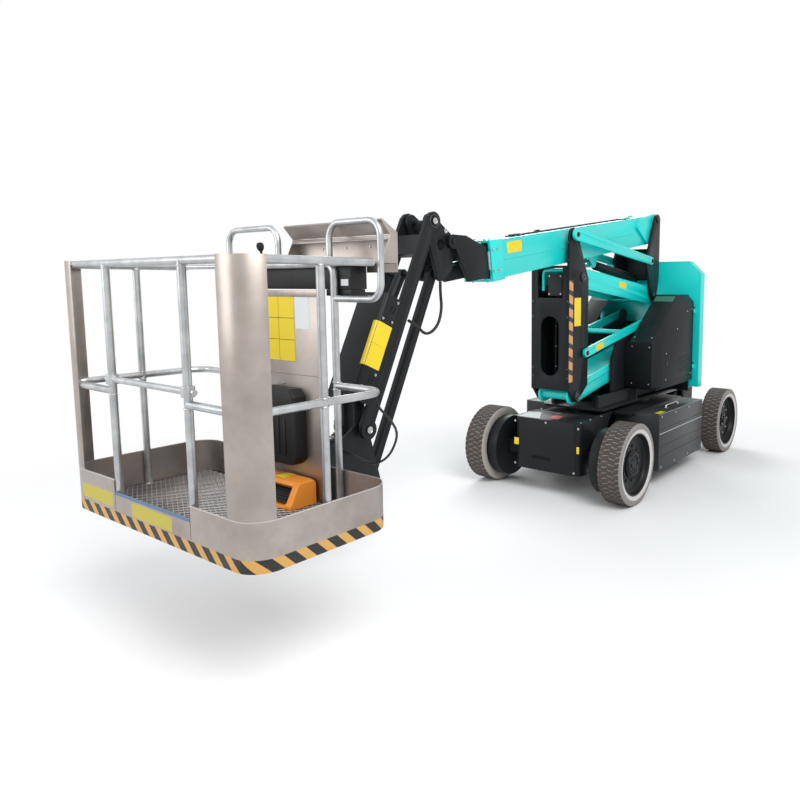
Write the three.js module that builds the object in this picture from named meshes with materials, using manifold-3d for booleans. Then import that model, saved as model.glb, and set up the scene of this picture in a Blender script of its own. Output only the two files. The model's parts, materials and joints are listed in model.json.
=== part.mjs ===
// A battery-driven articulating boom lift: wheeled chassis, slewing turret, folding tower (two arms and
// their links), telescopic boom, jib and platform. Millimetres, +Z up, +X towards the platform, +Y left.
// The moving pieces stand as they are stowed, at the zero of every joint.
import * as THREE from "three";
import { mergeVertices } from "three/addons/utils/BufferGeometryUtils.js";
import Module from "manifold-3d";

const wasm = await Module();
wasm.setup();

// ---------------------------------------------------------------- driving dimensions

const weldGap = 0.3; // between faces that touch
const pinPlay = 0.5; // radial play of a bore on its pin

// wheels
const wheelbase = 2063;
const widthOverTyres = 1415;
const tyreRadius = 311;
const tyreWidth = 187;
const rimRadius = 235;
const rimBarrel = 18;
const wheelY = (widthOverTyres - tyreWidth) / 2;
const frontAxleX = wheelbase / 2;
const rearAxleX = -wheelbase / 2;
const webOffset = 25; // wheel centre to the inner face of the wheel disc

// chassis
const deckTop = 597;
const chassisBottom = 180;
const chassisHalfWidth = 250;
const chassisRear = -860;
const chassisFront = 880;
const batteryBox = { rear: -460, front: 509, outer: 646, bottom: 132 };
const coverFront = 1200;
const coverHalfWidth = 305;
const coverSheet = 8;
const rearCoverHalfWidth = 285;
const rearCoverBack = -1205;
const lobeRadius = 250;
const kingpinY = 545;
const kingpinRadius = 18;
const knuckleHalfHeight = 70;
const steerArm = { x: 110, y: 0 };

// turret
const slewRingRadius = 300;
const slewRingTop = 630;
const turretPlate = { rear: -619, front: 820, halfWidth: 290, bottom: 631, top: 650 };
const trayTop = 748;
const trayOuter = 470;
const towerPlateIn = 150;
const towerPlateOut = 172;
const towerPlateFront = 430;
const counterweight = { front: -619.3, back: -800, halfWidth: 540, bottom: 680, top: 1860, chamfer: 118, bevel: 85 };
const hood = { rear: -588, front: 200, inner: 222, outer: 490, bottom: 755, top: 1550, shoulder: 1150, crest: -330 };
const hoodChamfer = { in: 60, front: 100, top: 70, roof: 110 }; // across, along, down and square to the roof
const hoodLap = 180; // the front wall reaches in to here below the shoulder
const hoodSheet = 6;
const hoodHingeX = -603;

// folding tower: pins as [x, z]
const lowerArmRear = [-340, 1030];
const lowerArmFront = [1030, 780];
const lowerLinkOffset = [-110, 331]; // from an arm pin to the matching link pin
const upperArmFront = [945, 1705];
const upperArmRear = [-410, 1541];
const upperLinkOffset = [138, 317];
const armHalfWidth = 138;
const armWall = 20;
const armHalfHeight = 72;
const upperArmHalfHeight = 77;
const linkIn = 180;
const linkOut = 205;
const linkHalfHeight = 34;
const stubOut = 214;
const armPinRadius = 22;
const linkPinRadius = 16;
const column = { front: 1150, rear: 850, plateBottom: 830, plateTop: 1790, sheet: 12, outer: 170 };

// telescopic boom: local frame at its pivot, x along the boom
const boomPivot = [-460, 2240];
const boomSlope = 8; // degrees below level at the front
const boomHalfWidth = 110;
const boomHeight = 250;
const boomTop = 42.5; // above the pivot
const boomWall = 8;
const boomFront = 2555;
const boomPinRadius = 24;
const collarLength = 135;
const collarStep = 12;
const flyHalfWidth = 88;
const flyHalfHeight = 105;
const flyWall = 7;
const flyRear = 560;
const flyMouth = 2600;
const headPlate = 20;

// jib
const knucklePivot = [2420, 1910];
const jibTop = [2600, 2020];
const jibLinkOffset = [-90, -310];
const jibSlope = 64.5; // degrees below level
const jibLength = 1270;
const beamIn = 88.5;
const beamOut = 113.5;
const beamBack = -25;
const beamFront = 60;
const jibPinRadius = 16;
const knuckleIn = 62;
const knuckleOut = 82;
const endPlateIn = 35;
const endPlateOut = 55;
const rotatorX = 3360;
const rotatorRadius = 62;
const rotator = { bottom: 665, top: 835 };

// cylinders: base pin, eye pin at rest [x, z]
const towerCylinder = { base: [474, 700], eye: [4.3, 967.2], barrel: 42, rod: 22, length: 450 };
const boomCylinder = { base: [-330, 1700], eye: [550, 1820], barrel: 38, rod: 20, length: 770 };
const levelCylinderBase = [2148, -46]; // in the boom's frame
const levelRodPin = [2440, 1757];
const jibCylinderBase = [350, 20]; // in the jib's frame
const jibRodReach = 170;
const jibRodAngle = 85.5;

// platform
const pan = { rear: 3581, front: 4286, halfWidth: 731, corner: 117, bottom: 603, floor: 625, top: 800, sheet: 4 };
const entry = { right: -290, left: 320, sill: 745 };
const railTop = 1762;
const railRadius = 16.75;
const midRailZ = 1195;
const sheetEdgeY = 580;
const sheetEdgeX = 4180;
const rearPostY = 400;
const sidePostX = 3930;
const collarPlay = 0.8; // the drop bar's collars on their posts

const frontEdge = pan.front;
const rearEdge = rearAxleX - tyreRadius;
const frameShift = -(frontEdge + rearEdge) / 2; // puts the middle of the whole length over the origin

// ---------------------------------------------------------------- finishes

const finish = (color, roughness, metalness) =>
  new THREE.MeshStandardMaterial({ color, roughness, metalness });
const cyanPaint = finish(0x19cfc4, 0.35, 0.0);
const charcoalPaint = finish(0x2b2f33, 0.45, 0.0);
const blackPlastic = finish(0x151617, 0.6, 0.0);
const rubber = finish(0x7c7670, 0.85, 0.0);
const aluminium = finish(0xb9b4ae, 0.4, 0.9);
const galvanised = finish(0xb3b8bb, 0.45, 0.8);
const chromedSteel = finish(0xd8d8d8, 0.15, 1.0);
const batterySteel = finish(0x5a5f63, 0.4, 0.6);
const orangePlastic = finish(0xd9731f, 0.5, 0.0);

// ---------------------------------------------------------------- solids

function solid(geometry) {
  const bare = geometry.index ? geometry.toNonIndexed() : geometry.clone();
  bare.deleteAttribute("normal");
  bare.deleteAttribute("uv");
  const merged = mergeVertices(bare, 1e-4);
  return new wasm.Manifold(
    new wasm.Mesh({
      numProp: 3,
      vertProperties: merged.attributes.position.array,
      triVerts: new Uint32Array(merged.index.array),
    }),
  );
}

const join = (...pieces) => pieces.flat().reduce((all, next) => all.add(next));
const cut = (body, ...tools) => tools.flat().reduce((left, tool) => left.subtract(tool), body);
const bothSides = (make) => [make(1), make(-1)];

function block(x0, x1, y0, y1, z0, z1) {
  const g = new THREE.BoxGeometry(Math.abs(x1 - x0), Math.abs(y1 - y0), Math.abs(z1 - z0));
  return solid(g.translate((x0 + x1) / 2, (y0 + y1) / 2, (z0 + z1) / 2));
}

// A round bar: axis "x", "y" or "z", from one place along it to another, centred on the other two.
function bar(axis, radius, from, to, a, b, sides = 16) {
  const g = new THREE.CylinderGeometry(radius, radius, Math.abs(to - from), sides);
  const middle = (from + to) / 2;
  if (axis === "x") g.rotateZ(Math.PI / 2).translate(middle, a, b);
  if (axis === "y") g.translate(a, middle, b);
  if (axis === "z") g.rotateX(Math.PI / 2).translate(a, b, middle);
  return solid(g);
}

// The convex outline round a set of circles [x, z, radius].
function outlineRound(circles, steps = 16) {
  const points = circles.flatMap(([x, z, r]) =>
    Array.from({ length: r > 0 ? steps : 1 }, (_, i) => {
      const turn = (2 * Math.PI * i) / steps;
      return new THREE.Vector2(x + r * Math.cos(turn), z + r * Math.sin(turn));
    }),
  );
  points.sort((p, q) => p.x - q.x || p.y - q.y);
  const turns = (a, b, c) => (b.x - a.x) * (c.y - a.y) - (b.y - a.y) * (c.x - a.x);
  const half = (list) => {
    const chain = [];
    for (const p of list) {
      while (chain.length > 1 && turns(chain.at(-2), chain.at(-1), p) <= 1e-6) chain.pop();
      chain.push(p);
    }
    return chain.slice(0, -1);
  };
  return [...half(points), ...half([...points].reverse())];
}

// A plate standing in the XZ plane, from y0 to y1.
function plate(points, y0, y1) {
  const shape = new THREE.Shape(points.map((p) => (p.isVector2 ? p : new THREE.Vector2(...p))));
  const depth = Math.abs(y1 - y0);
  const g = new THREE.ExtrudeGeometry(shape, { depth, bevelEnabled: false });
  return solid(g.rotateX(Math.PI / 2).translate(0, Math.max(y0, y1), 0));
}
const roundPlate = (circles, y0, y1) => plate(outlineRound(circles), y0, y1);

// A prism on a rounded rectangle in plan.
function roundedPrism(x0, x1, y0, y1, radius, z0, z1, steps = 8) {
  const s = new THREE.Shape();
  s.moveTo(x0 + radius, y0);
  s.lineTo(x1 - radius, y0);
  s.absarc(x1 - radius, y0 + radius, radius, -Math.PI / 2, 0);
  s.lineTo(x1, y1 - radius);
  s.absarc(x1 - radius, y1 - radius, radius, 0, Math.PI / 2);
  s.lineTo(x0 + radius, y1);
  s.absarc(x0 + radius, y1 - radius, radius, Math.PI / 2, Math.PI);
  s.lineTo(x0, y0 + radius);
  s.absarc(x0 + radius, y0 + radius, radius, Math.PI, 1.5 * Math.PI);
  const g = new THREE.ExtrudeGeometry(s, { depth: z1 - z0, bevelEnabled: false, curveSegments: steps });
  return solid(g.translate(0, 0, z0));
}

// A turned piece about the Y axis, its profile given as [radius, y].
const turned = (profile, sides = 40) =>
  solid(new THREE.LatheGeometry(profile.map((p) => new THREE.Vector2(...p)), sides));

// A route through points, followed point by point.
class Route extends THREE.Curve {
  constructor(points) {
    super();
    this.points = points;
  }
  getPoint(t) {
    const place = t * (this.points.length - 1);
    const i = Math.min(Math.floor(place + 1e-9), this.points.length - 2);
    return this.points[i].clone().lerp(this.points[i + 1], place - i);
  }
  getPointAt(t) {
    return this.getPoint(t);
  }
  getTangentAt(t) {
    const last = this.points.length - 1;
    const i = Math.round(t * last);
    const before = this.points[Math.max(i - 1, 0)];
    const after = this.points[Math.min(i + 1, last)];
    const here = this.points[i];
    const tangent = new THREE.Vector3();
    if (i > 0) tangent.add(here.clone().sub(before).normalize());
    if (i < last) tangent.add(after.clone().sub(here).normalize());
    return tangent.normalize();
  }
}

// Corner points with an arc of the given radius in place of each inner corner.
function rounded(corners, radius, steps = 4) {
  const points = corners.map((p) => new THREE.Vector3(...p));
  const out = [points[0]];
  for (let i = 1; i < points.length - 1; i++) {
    const back = points[i - 1].clone().sub(points[i]).normalize();
    const on = points[i + 1].clone().sub(points[i]).normalize();
    const half = back.angleTo(on) / 2;
    const start = points[i].clone().addScaledVector(back, radius / Math.tan(half));
    const centre = points[i].clone().addScaledVector(back.clone().add(on).normalize(), radius / Math.sin(half));
    const end = points[i].clone().addScaledVector(on, radius / Math.tan(half));
    const spokeStart = start.clone().sub(centre);
    const spokeEnd = end.clone().sub(centre);
    for (let k = 0; k <= steps; k++) {
      const spoke = spokeStart.clone().lerp(spokeEnd, k / steps).setLength(radius);
      out.push(centre.clone().add(spoke));
    }
  }
  out.push(points.at(-1));
  return out;
}

// A round tube or hose along a list of points.
function along(points, radius, sides = 10) {
  const ring = new THREE.Shape().absarc(0, 0, radius, 0, 2 * Math.PI);
  const g = new THREE.ExtrudeGeometry(ring, {
    steps: points.length - 1,
    extrudePath: new Route(points),
    curveSegments: sides / 2,
    bevelEnabled: false,
  });
  return solid(g);
}
const tube = (corners, bend, radius = railRadius) => along(rounded(corners, bend), radius, 8);

// ---------------------------------------------------------------- the scene graph

const lift = new THREE.Group();
lift.position.x = frameShift;

function add(name, body, material, parent = lift) {
  const mesh = body.getMesh();
  const g = new THREE.BufferGeometry();
  g.setAttribute("position", new THREE.BufferAttribute(Float32Array.from(mesh.vertProperties), 3));
  g.setIndex(new THREE.BufferAttribute(Uint32Array.from(mesh.triVerts), 1));
  g.computeVertexNormals();
  const made = new THREE.Mesh(g, material);
  made.name = name;
  parent.add(made);
  return made;
}

// A group at a pin [x, z], its own x axis turned down by so many degrees.
function frameAt([x, z], degreesDown, parent = lift) {
  const g = new THREE.Group();
  g.position.set(x, 0, z);
  g.rotation.y = THREE.MathUtils.degToRad(degreesDown);
  parent.add(g);
  return g;
}
const plus = ([x, z], [dx, dz]) => [x + dx, z + dz];
const spanOf = ([x0, z0], [x1, z1]) => Math.hypot(x1 - x0, z1 - z0);
const downAngle = ([x0, z0], [x1, z1]) => THREE.MathUtils.radToDeg(Math.atan2(z0 - z1, x1 - x0));
const sides = { left: 1, right: -1 };

// ---------------------------------------------------------------- wheels

function tyre() {
  const h = tyreWidth / 2;
  const r = tyreRadius;
  const bead = rimRadius + weldGap;
  return turned([
    [bead, -h + 8],
    [r - 34, -h],
    [r - 12, -h + 4],
    [r, -h + 20],
    [r, h - 20],
    [r - 12, h - 4],
    [r - 34, h],
    [bead, h - 8],
    [bead, -h + 8],
  ]);
}

// The disc of a driven wheel carries a large hub, that of a steered wheel a small one.
function rim(hubRadius, hubDepth) {
  const h = tyreWidth / 2 - 8;
  const barrel = rimRadius - rimBarrel;
  return turned([
    [0, webOffset],
    [barrel, webOffset],
    [barrel, -h],
    [rimRadius, -h],
    [rimRadius, h],
    [barrel, h],
    [barrel, webOffset + 12],
    [hubRadius, webOffset + 12],
    [hubRadius, webOffset + 12 + hubDepth],
    [0, webOffset + 12 + hubDepth],
  ]);
}

for (const [side, s] of Object.entries(sides)) {
  for (const [end, x, hub, depth] of [
    ["front", frontAxleX, 98, 26],
    ["rear", rearAxleX, 60, 14],
  ]) {
    const wheel = new THREE.Group();
    wheel.position.set(x, s * wheelY, tyreRadius);
    wheel.rotation.z = s > 0 ? 0 : Math.PI;
    lift.add(wheel);
    add(`tyre_${end}_${side}`, tyre(), rubber, wheel);
    add(`rim_${end}_${side}`, rim(hub, depth), charcoalPaint, wheel);
  }
}
const stubEnd = wheelY + webOffset - pinPlay; // an axle's end face, just inside the wheel disc

// ---------------------------------------------------------------- chassis

add(
  "chassis_frame",
  join(
    block(chassisRear, chassisFront, -chassisHalfWidth, chassisHalfWidth, chassisBottom, deckTop),
    block(-520, 560, -420, 420, deckTop - 30, deckTop - weldGap).subtract(
      block(-600, 600, chassisHalfWidth + 20, 500, 0, deckTop - 20),
    ).subtract(block(-600, 600, -500, -chassisHalfWidth - 20, 0, deckTop - 20)),
  ),
  charcoalPaint,
);

for (const [side, s] of Object.entries(sides)) {
  const inner = chassisHalfWidth + weldGap;
  const { rear, front, outer, bottom } = batteryBox;
  const box = block(rear, front, s * inner, s * outer, bottom, deckTop);
  const deckRoom = block(-521, 561, s * (chassisHalfWidth - 5), s * 420.6, deckTop - 31, deckTop + 5);
  add(`battery_box_${side}`, cut(box, deckRoom), batterySteel);
}

function cover(back, front, halfWidth, corner) {
  const [low, high] = back < front ? [back, front] : [front, back];
  const inward = back < front ? -1 : 1;
  const outer = roundedPrism(low, high, -halfWidth, halfWidth, corner, 185, deckTop);
  const inner = roundedPrism(
    low + coverSheet,
    high - coverSheet,
    -halfWidth + coverSheet,
    halfWidth - coverSheet,
    corner - coverSheet,
    150,
    deckTop - coverSheet,
  );
  const openBack = block(
    back + inward * 60,
    back - inward * (corner + 20),
    -halfWidth + coverSheet,
    halfWidth - coverSheet,
    150,
    deckTop - coverSheet,
  );
  return cut(outer, inner, openBack);
}

const axleSlot = (x) => block(x - 58, x + 58, -420, 420, 120, 372 + 8);
add("front_cover", cut(cover(chassisFront + weldGap, coverFront, coverHalfWidth, 70), axleSlot(frontAxleX)), charcoalPaint);
add(
  "rear_cover",
  cut(
    cover(chassisRear - weldGap, rearCoverBack, rearCoverHalfWidth, 60),
    axleSlot(rearAxleX),
    block(-960, -850, -400, 400, 100, 262),
  ),
  charcoalPaint,
);

add(
  "drive_axle",
  join(
    block(frontAxleX - 50, frontAxleX + 50, -430, 430, 262, 364),
    block(chassisFront + weldGap, frontAxleX, -140, 140, 270, 356),
    bothSides((s) => bar("y", lobeRadius, s * 425, s * 511, frontAxleX, tyreRadius, 40)),
    bothSides((s) => bar("y", 105, s * 505, s * (stubEnd - 40), frontAxleX, tyreRadius, 32)),
    bothSides((s) => bar("y", 60, s * 500, s * stubEnd, frontAxleX, tyreRadius)),
  ),
  charcoalPaint,
);

const earGap = 2;
add(
  "steer_axle",
  join(
    block(rearAxleX - 48, rearAxleX + 48, -470, 470, 262, 360),
    block(rearAxleX, chassisRear - weldGap, -140, 140, 270, 356),
    bothSides((s) =>
      join(
        ...[1, -1].map((up) => {
          const near = tyreRadius + up * (knuckleHalfHeight + earGap);
          const far = near + up * 18;
          return join(
            block(rearAxleX - 48, rearAxleX + 48, s * 430, s * kingpinY, near, far),
            bar("z", 40, near, far, rearAxleX, s * kingpinY),
          );
        }),
        block(rearAxleX - 48, rearAxleX - 8, s * 430, s * 470, tyreRadius - 90, tyreRadius + 90),
        bar("z", kingpinRadius, tyreRadius - 90, tyreRadius + 90, rearAxleX, s * kingpinY),
      ),
    ),
  ),
  charcoalPaint,
);

const armEnd = { x: rearAxleX + steerArm.x, y: kingpinY + steerArm.y };
for (const [side, s] of Object.entries(sides)) {
  const armLow = tyreRadius - knuckleHalfHeight;
  const arm = (x, y) => bar("z", 20, armLow, armLow + 16, x, s * y);
  const web = new THREE.Shape([
    new THREE.Vector2(rearAxleX + 20, s * (armEnd.y - 20)),
    new THREE.Vector2(armEnd.x, s * (armEnd.y - 20)),
    new THREE.Vector2(armEnd.x, s * (armEnd.y + 20)),
    new THREE.Vector2(rearAxleX + 20, s * (armEnd.y + 20)),
  ]);
  const webPlate = solid(new THREE.ExtrudeGeometry(web, { depth: 16, bevelEnabled: false }).translate(0, 0, armLow));
  add(
    `steer_knuckle_${side}`,
    cut(
      join(
        bar("z", 38, armLow, tyreRadius + knuckleHalfHeight, rearAxleX, s * kingpinY),
        bar("y", 30, s * kingpinY, s * stubEnd, rearAxleX, tyreRadius),
        webPlate,
        arm(armEnd.x, armEnd.y),
      ),
      bar("z", kingpinRadius + pinPlay, 0, 700, rearAxleX, s * kingpinY),
    ),
    charcoalPaint,
  );
}

const tieRodZ = tyreRadius - knuckleHalfHeight - weldGap - 12;
add(
  "tie_rod",
  join(
    bar("y", 12, -armEnd.y, armEnd.y, armEnd.x, tieRodZ, 12),
    bothSides((s) => bar("z", 20, tieRodZ - 12, tieRodZ + 12, armEnd.x, s * armEnd.y)),
  ),
  chromedSteel,
);

// ---------------------------------------------------------------- turret

const lowerLinkRear = plus(lowerArmRear, lowerLinkOffset);
const lowerLinkFront = plus(lowerArmFront, lowerLinkOffset);
const upperLinkRear = plus(upperArmRear, upperLinkOffset);
const upperLinkFront = plus(upperArmFront, upperLinkOffset);
const stub = ([x, z], s) => bar("y", linkPinRadius, s * (towerPlateIn + 5), s * stubOut, x, z);

const { rear: plateRear, front: plateFront } = turretPlate;
add(
  "turret_frame",
  join(
    bar("z", slewRingRadius, deckTop + weldGap, slewRingTop + 5, 0, 0, 48),
    roundedPrism(
      plateRear,
      plateFront,
      -turretPlate.halfWidth,
      turretPlate.halfWidth,
      60,
      turretPlate.bottom,
      turretPlate.top,
      5,
    ),
    block(plateRear, -480, -turretPlate.halfWidth, turretPlate.halfWidth, turretPlate.bottom, turretPlate.top),
    bothSides((s) => block(plateRear, 760, s * 200, s * 225, turretPlate.top - 2, 742)),
    bothSides((s) => block(-560, 185, s * 210, s * trayOuter, trayTop - 8, trayTop)),
    bothSides((s) => block(-560, -545, s * 220, s * trayOuter, turretPlate.top - 2, trayTop)),
    bothSides((s) => block(170, 185, s * 220, s * (turretPlate.halfWidth - 2), turretPlate.top - 2, trayTop)),
    bothSides((s) =>
      join(
        roundPlate([[-545, 655, 0], [-130, 655, 0], [...lowerArmRear, 62]], s * towerPlateIn, s * towerPlateOut),
        roundPlate([[-545, 655, 0], [...lowerArmRear, 62], [...lowerLinkRear, 50]], s * towerPlateIn, s * towerPlateOut),
        plate(
          [
            [-545, turretPlate.top - 2],
            [towerPlateFront, turretPlate.top - 2],
            [towerPlateFront, 1005],
            [towerPlateFront - 90, 1165],
            [lowerArmRear[0] - 60, 1330],
            [-545, 900],
          ],
          s * towerPlateIn,
          s * towerPlateOut,
        ),
        stub(lowerLinkRear, s),
      ),
    ),
    block(-545, -528, -towerPlateIn - 5, towerPlateIn + 5, turretPlate.top - 2, 1290),
    bar("y", armPinRadius, -towerPlateIn - 5, towerPlateIn + 5, ...lowerArmRear),
    bothSides((s) =>
      roundPlate([[...towerCylinder.base, 34], [420, 645, 0], [560, 645, 0]], s * 48, s * 66),
    ),
    bar("y", 20, -60, 60, ...towerCylinder.base),
  ),
  charcoalPaint,
);

function counterweightBody() {
  const { front, back, halfWidth, bottom, top, chamfer, bevel } = counterweight;
  const section = (x, inset) => [
    [x, -halfWidth + inset, bottom],
    [x, halfWidth - inset, bottom],
    [x, halfWidth - inset, top - chamfer],
    [x, halfWidth - chamfer, top - inset / 2],
    [x, -halfWidth + chamfer, top - inset / 2],
    [x, -halfWidth + inset, top - chamfer],
  ];
  const mass = wasm.Manifold.hull([...section(front, 0), ...section(back + bevel, 0), ...section(back, bevel)]);
  const pins = bothSides((s) =>
    [860, 1380].map((z) =>
      join(
        bar("z", 9, z, z + 40, hoodHingeX, s * hood.outer, 12),
        block(front - 5, hoodHingeX, s * (hood.outer - 6), s * (hood.outer + 6), z, z + 20),
      ),
    ),
  );
  return join(mass, pins.flat());
}
add("counterweight", counterweightBody(), cyanPaint);

// A hood's outer form: its full outline inside, and outside the outline less the chamfers.
function hoodForm(s, sheet) {
  const { rear, front, inner, outer, bottom, top, shoulder, crest } = hood;
  const run = Math.hypot(top - shoulder, front - crest);
  const [outX, outZ] = [(top - shoulder) / run, (front - crest) / run]; // square to the roof
  const open = sheet * 10;
  const full = [
    [rear - open, bottom - open],
    [front - sheet, bottom - open],
    [front - sheet, shoulder - sheet * 0.5],
    [crest - sheet * 0.5, top - sheet],
    [rear - open, top - sheet],
  ];
  const least = [
    [rear - open, bottom - open],
    [front - hoodChamfer.front - sheet, bottom - open],
    [
      front - hoodChamfer.front - sheet,
      shoulder - sheet * 0.5 + (hoodChamfer.front * outX - hoodChamfer.roof) / outZ,
    ],
    [
      crest - sheet * 0.5 + (hoodChamfer.top * outZ - hoodChamfer.roof) / outX,
      top - hoodChamfer.top - sheet,
    ],
    [rear - open, top - hoodChamfer.top - sheet],
  ];
  const at = (outline, y) => outline.map(([x, z]) => [x, s * y, z]);
  return wasm.Manifold.hull([
    ...at(full, inner - open),
    ...at(full, outer - sheet - hoodChamfer.in),
    ...at(least, outer - sheet),
  ]);
}

for (const [side, s] of Object.entries(sides)) {
  const shell = join(
    cut(hoodForm(s, 0), hoodForm(s, hoodSheet)),
    block(hood.front - hoodSheet, hood.front, s * hoodLap, s * (hood.inner + 5), hood.bottom, hood.shoulder),
  );
  const ears = [900.4, 1420.4].map((z) =>
    join(
      bar("z", 11, z, z + 12, hoodHingeX, s * hood.outer, 12),
      block(hoodHingeX, hood.rear + 4, s * (hood.outer - 11), s * hood.outer, z, z + 12),
    ),
  );
  add(`hood_${side}`, join(shell, ears), charcoalPaint);
  add(
    `power_unit_${side}`,
    block(-500, 90, s * 250, s * 462, trayTop + weldGap, 1090),
    blackPlastic,
  );
}

// ---------------------------------------------------------------- folding tower

// A box arm between two pins, its ends forked round the pins; the floor is left open over a stretch.
function boxArm(length, halfHeight, openFrom, openTo) {
  const body = roundPlate([[0, 0, halfHeight], [length, 0, halfHeight]], -armHalfWidth, armHalfWidth);
  const inside = armHalfWidth - armWall;
  const fork = halfHeight + 22;
  return cut(
    body,
    block(-200, length + 200, -inside, inside, -halfHeight + 12, halfHeight - 12),
    block(-200, fork, -inside, inside, -200, 200),
    block(length - fork, length + 200, -inside, inside, -200, 200),
    block(openFrom, openTo, -inside, inside, -200, 0),
    bar("y", armPinRadius + pinPlay, -200, 200, 0, 0),
    bar("y", armPinRadius + pinPlay, -200, 200, length, 0),
  );
}

const lowerArmLength = spanOf(lowerArmRear, lowerArmFront);
const lowerArmFrame = frameAt(lowerArmRear, downAngle(lowerArmRear, lowerArmFront));
add(
  "lower_arm",
  join(
    boxArm(lowerArmLength, armHalfHeight, 60, lowerArmLength - 330),
    cut(
      bar("y", 40, -armHalfWidth, armHalfWidth, lowerArmLength, 0, 32),
      bar("y", armPinRadius + pinPlay, -200, 200, lowerArmLength, 0),
    ),
  ),
  cyanPaint,
  lowerArmFrame,
);

function linkBar(length, s, frontHalfHeight = linkHalfHeight) {
  return cut(
    roundPlate([[0, 0, linkHalfHeight], [length, 0, frontHalfHeight]], s * linkIn, s * linkOut),
    bar("y", linkPinRadius + pinPlay, s * 150, s * 250, 0, 0),
    bar("y", linkPinRadius + pinPlay, s * 150, s * 250, length, 0),
  );
}
const lowerLinkFrame = frameAt(lowerLinkRear, downAngle(lowerArmRear, lowerArmFront));
add(
  "lower_link",
  join(
    bothSides((s) => linkBar(lowerArmLength, s)),
    bar("y", 20, -linkIn - 5, linkIn + 5, lowerArmLength * 0.5, 0),
  ),
  cyanPaint,
  lowerLinkFrame,
);

function columnBody() {
  const { front, rear, plateBottom, plateTop, sheet, outer } = column;
  const cheek = (s) => {
    const y0 = s * towerPlateIn;
    const y1 = s * outer;
    return join(
      roundPlate([[...lowerArmFront, 52], [rear + 20, 860, 20], [front - 10, 850, 10]], y0, y1),
      plate([[rear, 860], [front, 840], [front, plateTop], [rear, 1700]], y0, y1),
      roundPlate([[rear + 2, 1690, 2], [front - 2, plateTop, 2], [...upperLinkFront, 54]], y0, y1),
      stub(lowerLinkFront, s),
      stub(upperLinkFront, s),
      bar("y", 38, y0, s * (outer + 7), ...upperArmFront),
      bar("y", 40, y0, s * (outer + 10), ...lowerArmFront),
    );
  };
  const face = block(front - sheet, front, -outer, outer, plateBottom, plateTop);
  const window = block(front - 50, front + 50, -112, 112, 1545, 1772);
  const slot = bothSides((s) => bar("x", 82, front - 50, front + 50, 0, s > 0 ? 1322 : 1020, 24));
  return join(
    cut(face, window, slot, block(front - 50, front + 50, -82, 82, 1020, 1322)),
    bothSides(cheek),
    bar("y", armPinRadius, -outer, outer, ...lowerArmFront),
    bar("y", armPinRadius, -outer, outer, ...upperArmFront),
  );
}
add("column", columnBody(), charcoalPaint);

const upperArmLength = spanOf(upperArmRear, upperArmFront);
const upperArmSlope = downAngle(upperArmRear, upperArmFront);
add(
  "upper_arm",
  boxArm(upperArmLength, upperArmHalfHeight, 300, upperArmLength - 300),
  cyanPaint,
  frameAt(upperArmRear, upperArmSlope),
);
for (const [side, s] of Object.entries(sides)) {
  add(`upper_link_${side}`, linkBar(upperArmLength, s, 44), cyanPaint, frameAt(upperLinkRear, upperArmSlope));
}

function uprightBody() {
  const cheek = (s) => {
    const y0 = s * towerPlateIn;
    const y1 = s * column.outer;
    return join(
      roundPlate([[...upperArmRear, 54], [...upperLinkRear, 46], [-490, 1700, 20]], y0, y1),
      roundPlate([[...upperLinkRear, 46], [-490, 1700, 20], [...boomPivot, 52]], y0, y1),
      roundPlate([[...boomCylinder.base, 50], [...upperArmRear, 54]], y0, y1),
      stub(upperLinkRear, s),
    );
  };
  return join(
    bothSides(cheek),
    block(-510, -494, -towerPlateIn - 5, towerPlateIn + 5, 1690, 1980),
    bar("y", armPinRadius, -column.outer, column.outer, ...upperArmRear),
    bar("y", boomPinRadius, -column.outer - 6, column.outer + 6, ...boomPivot),
    bar("y", 18, -towerPlateIn - 5, towerPlateIn + 5, ...boomCylinder.base),
  );
}
add("rear_upright", uprightBody(), charcoalPaint);

// ---------------------------------------------------------------- cylinders

// Barrel and rod in a frame whose x axis runs from the base pin to the eye. The rod carries its own eye
// pin, which ends just inside the plates it bears in.
function cylinderPair(name, frame, span, c, basePin, eyeHalf, pinHalf, pinRadius, baseHalf) {
  const eye = c.rod + 14;
  const barrelStart = c.barrel * 0.6;
  add(
    `${name}_cylinder`,
    cut(
      join(
        bar("x", c.barrel, barrelStart, c.length, 0, 0),
        bar("y", c.barrel * 0.86, -baseHalf, baseHalf, 0, 0),
        block(0, barrelStart + 4, -baseHalf, baseHalf, -c.barrel * 0.7, c.barrel * 0.7),
      ),
      bar("x", c.rod + pinPlay, barrelStart + 40, c.length + 50, 0, 0),
      bar("y", basePin + pinPlay, -100, 100, 0, 0),
    ),
    charcoalPaint,
    frame,
  );
  add(
    `${name}_rod`,
    join(
      bar("x", c.rod, barrelStart + 45 + (c.retracts ?? 15), span - eye * 0.6, 0, 0),
      bar("y", eye, -eyeHalf, eyeHalf, span, 0),
      bar("y", pinRadius, -pinHalf, pinHalf, span, 0),
    ),
    chromedSteel,
    frame,
  );
}

const towerSpan = spanOf(towerCylinder.base, towerCylinder.eye);
cylinderPair(
  "tower",
  frameAt(towerCylinder.base, downAngle(towerCylinder.base, towerCylinder.eye)),
  towerSpan,
  towerCylinder,
  20,
  25,
  armHalfWidth - armWall - weldGap,
  18,
  44,
);
const boomCylinderSpan = spanOf(boomCylinder.base, boomCylinder.eye);
const bracketIn = 40;
cylinderPair(
  "boom",
  frameAt(boomCylinder.base, downAngle(boomCylinder.base, boomCylinder.eye)),
  boomCylinderSpan,
  boomCylinder,
  18,
  25,
  bracketIn - weldGap,
  16,
  28,
);

// ---------------------------------------------------------------- telescopic boom

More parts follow.
